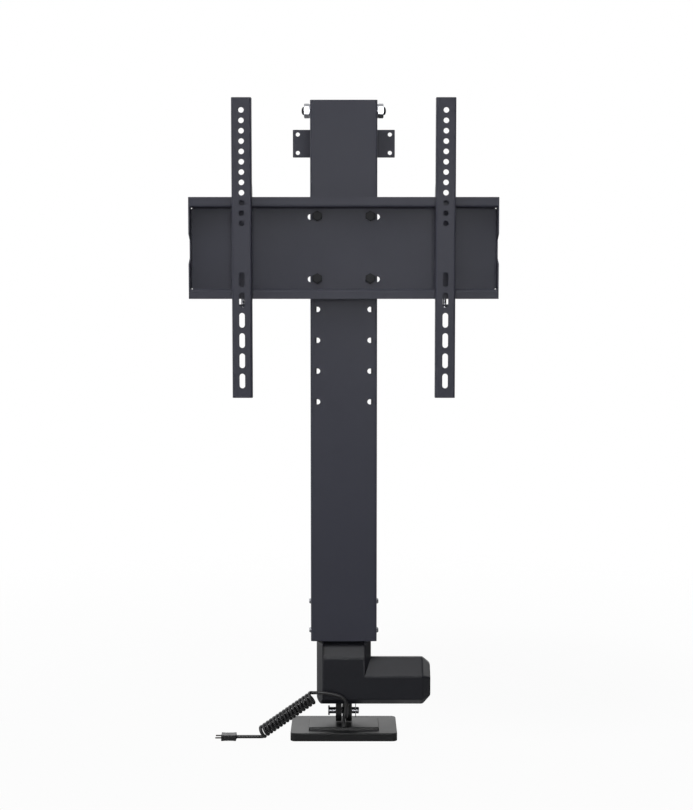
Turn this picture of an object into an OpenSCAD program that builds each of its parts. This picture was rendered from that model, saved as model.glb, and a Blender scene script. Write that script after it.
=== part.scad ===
// Electric TV lift: a sheet metal column that an electric screw drive raises along a fixed guide post.
// Millimetres, +Z up. The origin is on the floor, under the axis of the screw drive.

/* [Column] */
// Width of the lifting column
column_w = 100; // [94:1:120]
// Depth of the lifting column
column_d = 70; // [68:1:80]
// Height of the lifting column
column_h = 813.6; // [780:0.1:900]
// Height of the column's lower edge above the floor when it is down
column_z = 151.4; // [150.8:0.1:156]
// Sheet thickness of the column
column_wall = 2; // [1.5:0.1:3]
// Width of the column's rear lips
column_lip = 8; // [6:0.5:9]
// Diameter of the holes in the column's front
column_hole_d = 8; // [6.6:0.1:9]
// Height between the rows of holes in the column's front
column_hole_pitch = 46.2; // [40:0.1:50]
// Number of rows of holes
column_hole_rows = 7; // [3:1:8]
// Spacing of the two lines of holes
column_hole_gauge = 78.8; // [76:0.1:82]
// Distance from the top edge to the first row
column_hole_top = 171; // [150:0.5:200]

/* [TV plate] */
// Width of the plate
plate_w = 457.4; // [430:0.1:520]
// Depth of the plate from its web to its lips
plate_d = 27; // [24:0.5:32]
// Sheet thickness of the plate
plate_wall = 2; // [1.5:0.1:2.5]
// Height of the web between the two shelves
plate_web_h = 124.5; // [110:0.5:140]
// Height of the upper lip
plate_lip_top = 12.8; // [10:0.1:14]
// Height of the lower lip
plate_lip_low = 12.1; // [10:0.1:15]
// Height of the hand notch in each end flange
notch_h = 44; // [30:1:60]
// Depth of the hand notch
notch_d = 17; // [8:0.5:18]
// Diameter of the plate bolts
bolt_d = 6; // [5:0.5:6]
// Length of the plate bolts' slots between end centres
plate_slot_l = 10; // [6:0.5:14]
// Width of the plate bolts' slots
plate_slot_w = 8.6; // [8:0.1:10]

/* [Rails] */
// Length of a rail
rail_l = 437.6; // [420:0.1:470]
// Width of a rail
rail_w = 29.3; // [26:0.1:32]
// Distance between the rails' centre lines
rail_gauge = 298.4; // [260:0.1:320]
// Sheet thickness of a rail
rail_wall = 2; // [1.5:0.1:2.5]
// Distance from the plate's lips to the rails' front faces
rail_stand = 16; // [13:0.5:20]
// Height of a rail's top above the plate's upper edge
rail_rise = 142.8; // [130:0.1:150]
// Diameter of the rails' round holes
rail_hole_d = 8.1; // [6.6:0.1:9]
// Pitch of the rails' round holes
rail_hole_pitch = 14.9; // [13:0.1:15.5]
// Number of round holes in each rail
rail_hole_count = 12; // [6:1:12]
// Distance from a rail's top to its first hole
rail_hole_top = 18.3; // [12:0.1:20]
// Length of the rails' slots
rail_slot_l = 21.6; // [16:0.1:24]
// Pitch of the rails' slots
rail_slot_pitch = 29.75; // [27:0.05:31]
// Number of slots in each rail
rail_slot_count = 6; // [3:1:6]
// Distance from a rail's top to the centre of its first slot
rail_slot_top = 263.9; // [255:0.1:268]

/* [Guide post] */
// Width of the fixed guide post
post_w = 66; // [64:0.5:72]
// Sheet thickness of the guide post
post_wall = 2.5; // [2:0.1:3]
// Distance from the column's top edge down to the guide post's top
post_drop = 31; // [29:0.5:40]
// Distance from the axis to the front edges of the post's flanges
post_front = 24; // [23:0.5:25]
// Distance from the axis to the wall behind the lift
wall_y = 46; // [45.5:0.1:50]
// Running clearance of the nylon shoes
shoe_gap = 0.3; // [0.2:0.05:0.5]
// Height of the upper shoes
post_shoe_h = 40; // [30:1:44]
// Height of the lower shoes
column_shoe_h = 67; // [60:1:70]

/* [Wall bracket] */
// Width of the wall bracket
bracket_w = 156.4; // [140:0.1:180]
// Height of the wall bracket
bracket_h = 42; // [36:0.1:44]
// Thickness of the wall bracket
bracket_t = 3; // [2.5:0.1:4]
// Distance between the bracket's screw holes across
bracket_gauge = 141.2; // [125:0.1:146]
// Distance between the bracket's screw holes up
bracket_pitch = 27.9; // [22:0.1:29]
// Diameter of the bracket's screw holes
bracket_hole_d = 6.4; // [5:0.1:8]

/* [Screw drive] */
// Outer diameter of the outer tube
tube_d = 40; // [38:0.5:42]
// Wall of the outer tube
tube_wall = 2.5; // [2:0.1:2.8]
// Outer diameter of the push rod
rod_d = 30; // [28:0.5:31]
// Wall of the push rod
rod_wall = 3; // [2:0.1:4]
// Diameter of the lead screw
screw_d = 15; // [12:0.5:16]
// Distance from the column's top edge down to the outer tube's top
tube_drop = 60; // [57:0.5:65]
// Diameter of the cross bolt
cross_d = 12; // [10:0.5:12]
// Distance from the column's top edge to the cross bolt
cross_drop = 12.5; // [12:0.1:14]

/* [Gear housing] */
// Width of the gear part of the housing
gear_w = 83; // [80:0.5:86]
// Height of the housing's underside above the floor
housing_z = 54.6; // [54:0.1:56]
// Height of the gear part's top above the floor
gear_top = 150; // [148:0.5:150]
// Height of the motor part's top above the floor
motor_top = 123.8; // [120:0.1:126]
// Distance from the axis to the motor part's end
motor_reach = 132.2; // [130:0.1:145]
// Distance from the axis to the housing's front
housing_front = 46; // [45:0.5:48]
// Distance from the axis to the motor part's back
motor_back = 9; // [7:0.5:14]
// Wall thickness of the housing
housing_wall = 3; // [2.5:0.1:3.5]
// Bevel along the gear part's upper front edge
gear_bevel = 21.7; // [16:0.1:24]
// Bevel along the motor part's upper front edge
motor_bevel = 24; // [18:0.1:25]
// Bevel along the other front edges
edge_bevel = 9.5; // [6:0.1:10]
// Bevel at the motor part's end
end_bevel = 12; // [8:0.1:14]

/* [Worm drive] */
// Module of the worm drive
gear_module = 1.25; // [1.2:0.05:1.3]
// Number of teeth on the worm wheel
wheel_teeth = 20; // [18:1:21]
// Pitch radius of the worm
worm_r = 6.5; // [6:0.1:7]
// Height of the worm's axis above the floor
worm_z = 87; // [86:0.5:88]
// Diameter of the motor's can
motor_d = 42; // [36:0.5:43]

/* [Foot] */
// Width of the base
base_w = 162.6; // [140:0.1:200]
// Depth of the base
base_d = 95; // [85:0.5:100]
// Thickness of the base
base_t = 12.6; // [10:0.1:13]
// Width of the pivot pad
pad_w = 107.2; // [90:0.1:120]
// Depth of the pivot pad
pad_d = 57; // [50:0.5:62]
// Thickness of the pivot pad
pad_t = 4.4; // [3:0.1:4.8]
// Diameter of the clevis pin
pin_d = 10; // [8:0.5:12]
// Height of the clevis pin above the floor
pin_z = 34.6; // [34:0.1:36]
// Thickness of each fork ear
ear_t = 9.2; // [8:0.1:10]
// Gap between the fork's ears
ear_gap = 6.5; // [6:0.1:7]
// Thickness of the pivot lug
lug_t = 4.6; // [3.5:0.1:5.2]

/* [Cord] */
// Diameter of the supply cord
cord_d = 4.5; // [4:0.1:4.8]
// Mean diameter of the cord's curls
curl_d = 15.5; // [13:0.1:15.8]
// Number of curls
curl_count = 15; // [8:1:15]

/* [Hidden] */
$fn = 64;

// Colours
steel_black = [0.25, 0.26, 0.29];
moulded_black = [0.15, 0.15, 0.17];
zinc = [0.75, 0.76, 0.78];
nylon_white = [0.88, 0.87, 0.83];
brass = [0.75, 0.6, 0.3];
cord_black = [0.12, 0.12, 0.12];

// Clearances and small common sizes
eps = 0.01;
slide_gap = 0.3;
bore_gap = 0.2;
seat_gap = 0.1;
bend_r = 2;

// Column
column_front = -column_d / 2;
column_top = column_z + column_h;
column_in = column_w / 2 - column_wall;
column_back_in = column_d / 2 - column_wall;
hole_x = column_hole_gauge / 2;
hole_top_z = column_top - column_hole_top;
bolt_rows = [0, 2];

// TV plate
plate_back = column_front;
plate_front = plate_back - plate_d;
plate_sink = 2.2;
plate_mid_z = hole_top_z - column_hole_pitch - plate_sink;
web_top = plate_mid_z + plate_web_h / 2;
web_low = plate_mid_z - plate_web_h / 2;
plate_top = web_top + plate_lip_top;
plate_low = web_low - plate_lip_low;
slot_drop = 1.2;
relief_d = 3;
bolt_flange_d = 13;
bolt_flange_t = 0.6;
bolt_head_af = 13.8;
bolt_head_h = 5;
nut_af = 10;
nut_h = 5;
nut_proud = 2;

// Rails
rail_front = plate_front - rail_stand;
rail_top = plate_top + rail_rise;
rail_low = rail_top - rail_l;
rail_x = rail_gauge / 2;
rail_side = rail_w / 2;
rail_back = plate_front - 1;
hook_t = 5.5;
hook_rise = 16;
hook_drop = 8.5;
lock_tab_t = 3;
lock_tab_z = plate_low - 11;
lock_screw_d = 6;
lock_head_d = 10;
lock_head_h = 6;
lock_y = plate_front + plate_wall + lock_screw_d / 2 + 0.5;

// Guide post and bracket
post_top = column_top - post_drop;
post_x = post_w / 2;
post_back = wall_y - bracket_t;
web_front = post_back - post_wall;
bracket_mid_z = post_top - 26;
tongue_w = 48;
tongue_low = 66;
post_screw_d = 5;
post_screw_x = 15;
post_screw_zs = [80, 132];
bracket_screw_d = 6;
bracket_screw_pitch = 22;
button_h = 2.6;
shoe_screw_d = 4;
shoe_head_d = 8.3;
shoe_head_h = 3;
post_shoe_top = post_top - 4;
post_shoe_front = 22;
post_shoe_screw_y = 8;
post_shoe_screw_drops = [10, 30];
post_shoe_sink = 4.5;
post_shoe_cut = 3;
column_shoe_z = column_z + 3;
column_shoe_y = column_back_in - bend_r + column_wall / 2 - 0.2;
column_shoe_hook = 11;
column_shoe_screw_y = -14;
column_shoe_screw_zs = [column_z + 13, column_z + 58];

// Screw drive
tube_top = column_top - tube_drop;
tube_in = tube_d - 2 * tube_wall;
rod_in = rod_d - 2 * rod_wall;
cross_z = column_top - cross_drop;
gland_h = 20;
gland_lip = 2;
gland_spigot = 7;
nut_low = 200;
drive_nut_h = 36;
drive_nut_spigot = 14;
rod_low = nut_low + drive_nut_h;
end_block_h = 28;
end_block_d = 26;
end_block_low = cross_z - 16;
end_spigot = 20;
screw_low = 64.5;
screw_top = tube_top - 2;
spacer_d = 18;
cross_nut_af = 19;
cross_nut_h = 9.7;
cross_end = 3.8;
cross_reach = column_w / 2 + cross_nut_h + cross_end;

// Worm drive
wheel_r = gear_module * wheel_teeth / 2;
centre_distance = wheel_r + worm_r;
worm_y = -centre_distance;
worm_pitch = PI * gear_module;
lead_angle = atan(worm_pitch / (2 * PI * worm_r));
addendum = gear_module;
dedendum = 1.25 * gear_module;
flank_gap = 0.14;
worm_half_l = 14;
worm_shaft_d = 8;
worm_shaft_end = -33;
worm_shaft_in = 60;
wheel_w = 10;
bearing_d = 32;
bearing_w = 9;
lower_bearing_z = 66;
upper_bearing_z = 103;
bush_l = 8;
bush_d = 14;
motor_x0 = 48;
motor_x1 = 112;

// Gear housing
gear_x = gear_w / 2;
housing_back = web_front;
rear_bevel = 4;
corner_r = 9;
motor_rear_bevel = motor_back + housing_front - motor_bevel - 8;
shell_screws = [
    [-34, 64.5, housing_back], [-34, 138, housing_back], [34, 138, housing_back], [34, 64.5, housing_back],
    [121, 68, motor_back], [121, 93, motor_back]
];
shell_screw_d = 5;
shell_head_d = 8.5;
boss_d = 10;
shell_screw_tip = -30;
room = 2 * motor_reach;

// Foot
base_front = -housing_front - 3;
base_corner_r = 7;
pad_front = base_front + 15;
pad_corner_r = 2;
pad_top = base_t + pad_t;
ear_r = pin_z - pad_top - 1;
ear_in = ear_gap / 2;
ear_out = ear_in + ear_t;
fork_plate = [40, 40, 6];
lug_r = 12;
lug_front = pad_front + 4;
lug_back = pad_front + pad_d - 4;
pin_head_d = 15;
pin_head_h = 2.4;
pin_left = -24.3;
pin_right = 23.5;
clip_x = 17.6;
clip_t = 1.2;
clip_d = 22;
pad_screw_d = 5;
pad_screw_head_d = 10;
pad_screw_x = pad_w / 2 - 12;
pad_screw_in = 9;

// Cord: the lead from the gland to the curls, and the tail from the curls to the plug
gland_xy = [3, -30];
gland_d = 11;
gland_low = 48;
lead_route = [
    [3, -30, 48], [3, -30, 44.5], [3, -31.8, 40], [3, -35.5, 36.8], [3.2, -40.5, 35.6],
    [3.4, -45.5, 37], [3.7, -49.6, 40.5], [4, -52, 45.5], [4.2, -52.6, 51.5], [4, -52.4, 58],
    [2, -52, 64.3], [-3, -51.6, 69], [-11, -51.2, 72.2], [-21, -50.8, 74.2], [-31, -50.4, 75.4],
    [-38, -50, 75.8], [-42.5, -50, 75.8]
];
coil_in = [-42.5, -50, 75.8];
coil_from = [-47.3, -56, 70.2];
coil_to = [-124.3, -43, 12.8];
coil_out = [-132, -40, 4.8];
tail_route = [[-132, -40, 4.8], [-137, -40, 4.8], [-148, -40, 4.8], [-159, -40, 4.8], [-164, -40, 4.8]];
cord_sides = 8;
curl_sides = 6;
curl_rings = 8;
plug_at = [-164, -40, 4.8];
plug_l = 22.7;
plug_wide = 12;
plug_high = 9.6;
plug_pin_l = 9;
plug_pin_d = 2.4;
plug_pin_gauge = 6.4;
plug_waist = 1.3;
plug_steps = 10;

// Two-dimensional helpers for bent sheet
function unit(v) = v / norm(v);
function left_of(v) = [-v[1], v[0]];
function turn(v, a) = [v[0] * cos(a) - v[1] * sin(a), v[0] * sin(a) + v[1] * cos(a)];
function turn_angle(a, b) = atan2(a[0] * b[1] - a[1] * b[0], a * b);

// Stations along a polyline whose corners are arcs of radius r: each is a point and its left normal
function bend_arc(p, q, s, r, steps) =
    let (
        a = unit(q - p),
        t = turn_angle(a, unit(s - q)),
        way = sign(t),
        centre = q - a * r * tan(abs(t) / 2) + left_of(a) * r * way
    )
    [for (k = [0 : steps]) let (n = turn(left_of(a), t * k / steps)) [centre - n * r * way, n]];

function sheet_stations(p, r, steps) =
    let (last = len(p) - 1)
    concat(
        [[p[0], left_of(unit(p[1] - p[0]))]],
        [for (i = [1 : last - 1]) each bend_arc(p[i - 1], p[i], p[i + 1], r, steps)],
        [[p[last], left_of(unit(p[last] - p[last - 1]))]]
    );

// Outline of a sheet of thickness t whose middle follows the polyline p
module sheet_outline(p, t, r = bend_r, steps = 5) {
    s = sheet_stations(p, r, steps);
    polygon(concat(
        [for (q = s) q[0] + q[1] * t / 2],
        [for (i = [len(s) - 1 : -1 : 0]) s[i][0] - s[i][1] * t / 2]
    ));
}

// Solids along one axis, centred on the other two
module bar_x(d, x0, x1, y = 0, z = 0) {
    translate([x0, y, z]) rotate([0, 90, 0]) cylinder(d = d, h = x1 - x0);
}

module bar_y(d, y0, y1, x = 0, z = 0) {
    translate([x, y0, z]) rotate([-90, 0, 0]) cylinder(d = d, h = y1 - y0);
}

module bar_z(d, z0, z1, x = 0, y = 0) {
    translate([x, y, z0]) cylinder(d = d, h = z1 - z0);
}

// A box between two corners
module box(a, b) {
    translate(a) cube(b - a);
}

// A drawing in the Y-Z plane, extruded along X
module along_x(x0, x1) {
    translate([x0, 0, 0]) rotate([90, 0, 90]) linear_extrude(x1 - x0) children();
}

// A drawing in the X-Z plane, extruded along Y
module along_y(y0, y1) {
    translate([0, y1, 0]) rotate([90, 0, 0]) linear_extrude(y1 - y0) children();
}

module both_sides() {
    children();
    mirror([1, 0, 0]) children();
}

module rounded_slab(w, d, t, r) {
    linear_extrude(t) {
        square([w - 2 * r, d], center = true);
        square([w, d - 2 * r], center = true);
        for (x = [-1, 1], y = [-1, 1]) translate([x * (w / 2 - r), y * (d / 2 - r)]) circle(r);
    }
}

// A hexagon across flats, drawn round the origin
module hexagon(af) {
    circle(d = af / cos(30), $fn = 6);
}

// A button-head screw along +X: the head stands out from x = 0, the shank runs to -l
module button_screw(d, head_d, head_h, l) {
    rotate([0, 90, 0]) {
        translate([0, 0, -l]) cylinder(d = d, h = l + eps);
        rotate_extrude() intersection() {
            square([head_d / 2, head_h]);
            translate([0, head_h - button_sphere(head_d, head_h)]) circle(button_sphere(head_d, head_h));
        }
    }
}

function button_sphere(d, h) = (d * d / 4 + h * h) / (2 * h);

// Foot

module base_plate() {
    color(steel_black) difference() {
        translate([0, base_front + base_d / 2, 0]) rounded_slab(base_w, base_d, base_t, base_corner_r);
        pad_screw_places() {
            translate([0, 0, -eps]) cylinder(d = pad_screw_d + bore_gap, h = base_t + 2 * eps);
            translate([0, 0, -eps]) cylinder(d = pad_screw_head_d + bore_gap, h = pad_screw_head() + eps);
        }
    }
}

function pad_screw_head() = base_t / 2;

module pad_screw_places() {
    for (x = [-1, 1], y = [pad_front + pad_screw_in, pad_front + pad_d - pad_screw_in])
        translate([x * pad_screw_x, y, 0]) children();
}

module pivot_pad() {
    color(steel_black) difference() {
        union() {
            translate([0, pad_front + pad_d / 2, base_t]) rounded_slab(pad_w, pad_d, pad_t, pad_corner_r);
            along_x(-lug_t / 2, lug_t / 2) lug_outline();
        }
        bar_x(pin_d + bore_gap, -lug_t, lug_t, 0, pin_z);
        pad_screw_places() translate([0, 0, base_t - eps]) cylinder(d = pad_screw_d, h = pad_t - 1);
    }
}

// The lug's sides run from the pad to the round eye
module lug_outline() {
    translate([0, pin_z]) circle(lug_r);
    polygon([
        [lug_front, pad_top - eps], [lug_back, pad_top - eps],
        [lug_r * cos(lug_side), pin_z + lug_r * sin(lug_side)],
        [-lug_r * cos(lug_side), pin_z + lug_r * sin(lug_side)]
    ]);
}

lug_side = 40;

module pad_screws() {
    color(zinc) pad_screw_places() {
        translate([0, 0, 2]) cylinder(d = pad_screw_head_d, h = pad_screw_head() - 2);
        cylinder_between(pad_screw_d, pad_screw_head() - eps, pad_top - 1.2);
    }
}

module cylinder_between(d, z0, z1) {
    translate([0, 0, z0]) cylinder(d = d, h = z1 - z0);
}

// Gear housing

// Section of the housing across X, pulled in by the amount given
module housing_section(top, bevel, back, back_bevel, inset) {
    y0 = -housing_front + inset;
    y1 = back - inset;
    z0 = housing_z + inset;
    z1 = top - inset;
    cut = inset * (2 - sqrt(2));
    polygon(concat(
        [[y0, z0 + edge_bevel - cut], [y0 + edge_bevel - cut, z0], [y1 - rear_bevel + cut, z0]],
        [[y1, z0 + rear_bevel - cut], [y1, z1 - back_bevel + cut], [y1 - back_bevel + cut, z1]],
        bevel > 0 ? [[y0 + bevel - cut, z1], [y0, z1 - bevel + cut]] : [[y0, z1]]
    ));
}

// The gear part seen from the front, with its rounded lower corner
module gear_front(inset) {
    x = gear_x - inset;
    z0 = housing_z + inset;
    r = corner_r - inset;
    translate([-x + r, z0]) square([2 * x - r, gear_top - inset - z0]);
    translate([-x, z0 + r]) square([r + eps, gear_top - inset - z0 - r]);
    translate([-x + r, z0 + r]) circle(r);
}

// The gear part seen from above: its side bevels are as deep as the motor part's upper bevel
module gear_plan(inset) {
    slope = norm([edge_bevel, motor_bevel]);
    x = gear_x - inset;
    x_front = gear_x - edge_bevel - inset * (slope - edge_bevel) / motor_bevel;
    y0 = -housing_front + inset;
    y_side = motor_bevel - housing_front + inset * (slope - motor_bevel) / edge_bevel;
    y1 = housing_back - inset;
    polygon([[-x, y_side], [-x_front, y0], [x_front, y0], [x, y_side], [x, y1], [-x, y1]]);
}

// The bevel at the gear part's top is a pocket between the strips of the two side bevels
module gear_pocket(inset) {
    half = gear_x - edge_bevel + inset;
    y0 = -housing_front;
    b = gear_bevel + inset * sqrt(2);
    along_x(-half, half) polygon([[y0 - 1, gear_top - b - 1], [y0 + b + 1, gear_top + 1], [y0 - 1, gear_top + 1]]);
}

// Bevels round the motor part's end, one for each face: the face's angle about X, its distance and the bevel
motor_faces = [
    [180, housing_front, end_bevel], [135, (housing_front + motor_top - motor_bevel) / sqrt(2), end_bevel],
    [90, motor_top, end_bevel], [45, (motor_back + motor_top - motor_rear_bevel) / sqrt(2), rear_bevel],
    [0, motor_back, rear_bevel], [-45, (motor_back - housing_z - rear_bevel) / sqrt(2), rear_bevel],
    [-90, -housing_z, end_bevel], [-135, (housing_front - housing_z - edge_bevel) / sqrt(2), end_bevel]
];

module motor_end(inset) {
    far = 2 * room;
    for (f = motor_faces) rotate([f[0], 0, 0]) rotate([0, 0, 45])
        translate([(motor_reach - f[2] + f[1]) / sqrt(2) - inset, -far, -far]) cube([far, 2 * far, 2 * far]);
}

module housing_form(inset) {
    difference() {
        intersection() {
            along_y(-housing_front - 1, housing_back + 1) gear_front(inset);
            along_x(-gear_x - 1, gear_x + 1) housing_section(gear_top, 0, housing_back, rear_bevel, inset);
            linear_extrude(gear_top + 1) gear_plan(inset);
        }
        gear_pocket(inset);
    }
    difference() {
        along_x(-1, motor_reach - inset)
            housing_section(motor_top, motor_bevel, motor_back, motor_rear_bevel, inset);
        motor_end(inset);
    }
}

// Webs and bosses that hold the bearings, the motor and the screws
module housing_inside() {
    far = room;
    for (z = [lower_bearing_z, upper_bearing_z])
        box([-gear_x, -far, z], [gear_x, far, z + bearing_w]);
    for (x = [motor_x0 + 4, motor_x1 - 8]) box([x, -far, 0], [x + 4, far, far]);
    box([worm_shaft_end, -far, worm_z - bush_d], [worm_shaft_end + bush_l, worm_y + bush_d, worm_z + bush_d]);
    for (p = shell_screws) bar_y(boss_d, -far, far, p[0], p[1]);
}

module housing_bores() {
    bar_z(bearing_d, lower_bearing_z - eps, upper_bearing_z + bearing_w + eps);
    bar_z(tube_d + seat_gap, upper_bearing_z + bearing_w, gear_top + 1);
    box([-ear_out - seat_gap, -ear_r - seat_gap, housing_z - 1],
        [ear_out + seat_gap, ear_r + seat_gap, housing_z + housing_wall + 1]);
    bar_x(motor_d + seat_gap, motor_x0 + 1, motor_x1 + 1, worm_y, worm_z);
    bar_x(bush_d + seat_gap, worm_shaft_end - eps, worm_shaft_end + bush_l + eps, worm_y, worm_z);
    bar_z(gland_d - 3, housing_z - 1, housing_z + housing_wall + 1, gland_xy[0], gland_xy[1]);
    for (p = shell_screws) bar_y(shell_screw_d + bore_gap, shell_screw_tip - 2, p[2] + 1, p[0], p[1]);
    for (x = [-1, 1], z = post_screw_zs)
        bar_y(post_screw_d + bore_gap, housing_back - housing_wall - 1, housing_back + 1, x * post_screw_x, z);
}

module housing_shells() {
    difference() {
        union() {
            difference() {
                housing_form(0);
                housing_form(housing_wall);
            }
            intersection() {
                housing_form(housing_wall / 2);
                housing_inside();
            }
        }
        housing_bores();
    }
}

module front_housing() {
    color(moulded_black) intersection() {
        housing_shells();
        box([-room, -room, 0], [room, 0, room]);
    }
}

module rear_housing() {
    color(moulded_black) intersection() {
        housing_shells();
        box([-room, 0, 0], [room, room, room]);
    }
}

module housing_screws() {
    color(zinc) for (p = shell_screws) translate([p[0], p[2], p[1]])
        rotate([0, 0, 90]) button_screw(shell_screw_d, shell_head_d, button_h, p[2] - shell_screw_tip);
}

// The fork's plate rests on the housing's floor, and its ears reach down through it
module rear_fork() {
    floor_z = housing_z + housing_wall;
    color(moulded_black) difference() {
        union() {
            translate([-fork_plate[0] / 2, -fork_plate[1] / 2, floor_z]) cube(fork_plate);
            both_sides() along_x(ear_in, ear_out) {
                translate([0, pin_z]) circle(ear_r);
                translate([-ear_r, pin_z]) square([2 * ear_r, floor_z + 1 - pin_z]);
            }
        }
        bar_x(pin_d + seat_gap, -ear_out - 1, ear_out + 1, 0, pin_z);
    }
}

module clevis_pin() {
    groove_d = pin_d - 2;
    color(zinc) difference() {
        union() {
            bar_x(pin_d, pin_left + eps, pin_right, 0, pin_z);
            bar_x(pin_head_d, pin_left, pin_left + pin_head_h, 0, pin_z);
        }
        difference() {
            bar_x(pin_d + 1, clip_x, clip_x + clip_t, 0, pin_z);
            bar_x(groove_d, clip_x - 1, clip_x + clip_t + 1, 0, pin_z);
        }
    }
}

// Open retaining ring in the pin's groove
module pin_clip() {
    groove_d = pin_d - 2;
    color(zinc) along_x(clip_x + seat_gap, clip_x + clip_t - seat_gap) translate([0, pin_z]) difference() {
        circle(d = clip_d);
        circle(d = groove_d + seat_gap);
        translate([-groove_d / 3, -clip_d]) square([groove_d / 1.5, clip_d]);
        for (a = [-60, 60]) rotate(90 + a) translate([clip_d / 2, 0]) circle(d = clip_d / 4);
    }
}

module motor_can() {
    end_d = 18;
    end_h = 3;
    color(zinc) difference() {
        union() {
            bar_x(motor_d, motor_x0, motor_x1, worm_y, worm_z);
            bar_x(end_d, motor_x1 - eps, motor_x1 + end_h, worm_y, worm_z);
        }
        bar_x(worm_shaft_d + 2 * bore_gap, motor_x0 - 1, worm_shaft_in + 2, worm_y, worm_z);
    }
}

module spindle_bearings() {
    color(zinc) for (z = [lower_bearing_z, upper_bearing_z]) difference() {
        bar_z(bearing_d - seat_gap, z, z + bearing_w);
        bar_z(screw_d + bore_gap, z - 1, z + bearing_w + 1);
    }
}

module worm_bush() {
    color(brass) difference() {
        bar_x(bush_d, worm_shaft_end, worm_shaft_end + bush_l, worm_y, worm_z);
        bar_x(worm_shaft_d + bore_gap, worm_shaft_end - 1, worm_shaft_end + bush_l + 1, worm_y, worm_z);
    }
}

// Screw drive

module outer_tube() {
    z0 = upper_bearing_z + bearing_w;
    color(steel_black) difference() {
        bar_z(tube_d, z0, tube_top);
        bar_z(tube_in, z0 - 1, tube_top + 1);
    }
}

module tube_gland() {
    color(moulded_black) difference() {
        union() {
            bar_z(tube_d + 2 * gland_lip, tube_top, tube_top + gland_h);
            bar_z(tube_in - seat_gap, tube_top - gland_spigot, tube_top + eps);
        }
        bar_z(rod_d + 2 * slide_gap, tube_top - gland_spigot - 1, tube_top + gland_h + 1);
    }
}

module push_rod() {
    color(zinc) difference() {
        bar_z(rod_d, rod_low, end_block_low);
        bar_z(rod_in, rod_low - 1, end_block_low + 1);
    }
}

module rod_end() {
    color(zinc) difference() {
        union() {
            box([-rod_d / 2, -end_block_d / 2, end_block_low],
                [rod_d / 2, end_block_d / 2, end_block_low + end_block_h]);
            bar_z(rod_in - seat_gap, end_block_low - end_spigot, end_block_low + eps);
        }
        bar_x(cross_d + bore_gap, -rod_d, rod_d, 0, cross_z);
    }
}

module drive_nut() {
    color(brass) difference() {
        union() {
            bar_z(tube_in - 2 * slide_gap, nut_low, nut_low + drive_nut_h);
            bar_z(rod_in - seat_gap, rod_low - eps, rod_low + drive_nut_spigot);
        }
        bar_z(screw_d + bore_gap, nut_low - 1, rod_low + drive_nut_spigot + 1);
    }
}

module lead_screw() {
    color(zinc) bar_z(screw_d, screw_low, screw_top);
}

// Worm wheel: each tooth is a straight prism, leaned by the worm's lead angle
module worm_wheel() {
    root_r = wheel_r - dedendum;
    tip_r = wheel_r + addendum;
    half = worm_pitch / 4 - flank_gap;
    slope = tan(20 - 360 / wheel_teeth / 4);
    color(brass) translate([0, 0, worm_z]) difference() {
        union() {
            translate([0, 0, -wheel_w / 2]) cylinder(r = root_r, h = wheel_w);
            for (k = [0 : wheel_teeth - 1]) rotate((k + 0.5) * 360 / wheel_teeth - 90)
                rotate([-lead_angle, 0, 0]) translate([0, 0, -wheel_w / 2 + tooth_end]) linear_extrude(wheel_w - 2 * tooth_end)
                    polygon([
                        [root_r - 1, -half - dedendum * slope], [tip_r, -half + addendum * slope],
                        [tip_r, half - addendum * slope], [root_r - 1, half + dedendum * slope]
                    ]);
        }
        translate([0, 0, -wheel_w]) cylinder(d = screw_d, h = 2 * wheel_w);
    }
}

tooth_end = 0.4;

// Worm: one right-handed thread of straight flanks round a shaft
worm_steps = 20;
worm_turns = 2 * worm_half_l / worm_pitch - 1.2;

function worm_ring(a) =
    let (
        x = worm_pitch * a / 360,
        inner = worm_r - dedendum - 0.4,
        tip = worm_r + addendum,
        half_in = worm_pitch / 4 - flank_gap + (worm_r - inner) * tan(20),
        half_tip = worm_pitch / 4 - flank_gap - addendum * tan(20)
    )
    [for (q = [[inner, half_in], [tip, half_tip], [tip, -half_tip], [inner, -half_in]])
        [x + q[1], q[0] * cos(a), q[0] * sin(a)]];

module worm_shaft() {
    n = ceil(worm_turns * worm_steps);
    points = [for (i = [0 : n]) each worm_ring((i - n / 2) * 360 / worm_steps)];
    color(zinc) translate([0, worm_y, worm_z]) {
        tube_solid(points, n + 1, 4);
        bar_x(2 * (worm_r - dedendum), -worm_half_l, worm_half_l);
        bar_x(worm_shaft_d, worm_shaft_end, worm_shaft_in);
    }
}

// Guide post

module guide_post() {
    x = post_x - post_wall / 2;
    y = post_back - post_wall / 2;
    color(steel_black) difference() {
        union() {
            translate([0, 0, gear_top]) linear_extrude(post_top - gear_top)
                sheet_outline([[-x, -post_front], [-x, y], [x, y], [x, -post_front]], post_wall);
            box([-tongue_w / 2, web_front, tongue_low], [tongue_w / 2, post_back, gear_top + eps]);
        }
        for (s = [-1, 1], z = post_screw_zs)
            bar_y(post_screw_d + bore_gap, web_front - 1, post_back + 1, s * post_screw_x, z);
        for (s = [-1, 1]) bar_y(bracket_screw_d + bore_gap, web_front - 1, post_back + 1, 0,
            bracket_mid_z + s * bracket_screw_pitch / 2);
        for (z = post_shoe_screw_drops)
            bar_x(shoe_screw_d + bore_gap, -post_x - 1, post_x + 1, post_shoe_screw_y, post_shoe_top - z);
    }
}

module post_screws() {
    color(zinc) for (s = [-1, 1], z = post_screw_zs) translate([s * post_screw_x, post_back, z])
        rotate([0, 0, 90]) button_screw(post_screw_d, shell_head_d, button_h, post_wall + housing_wall);
}

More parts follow.
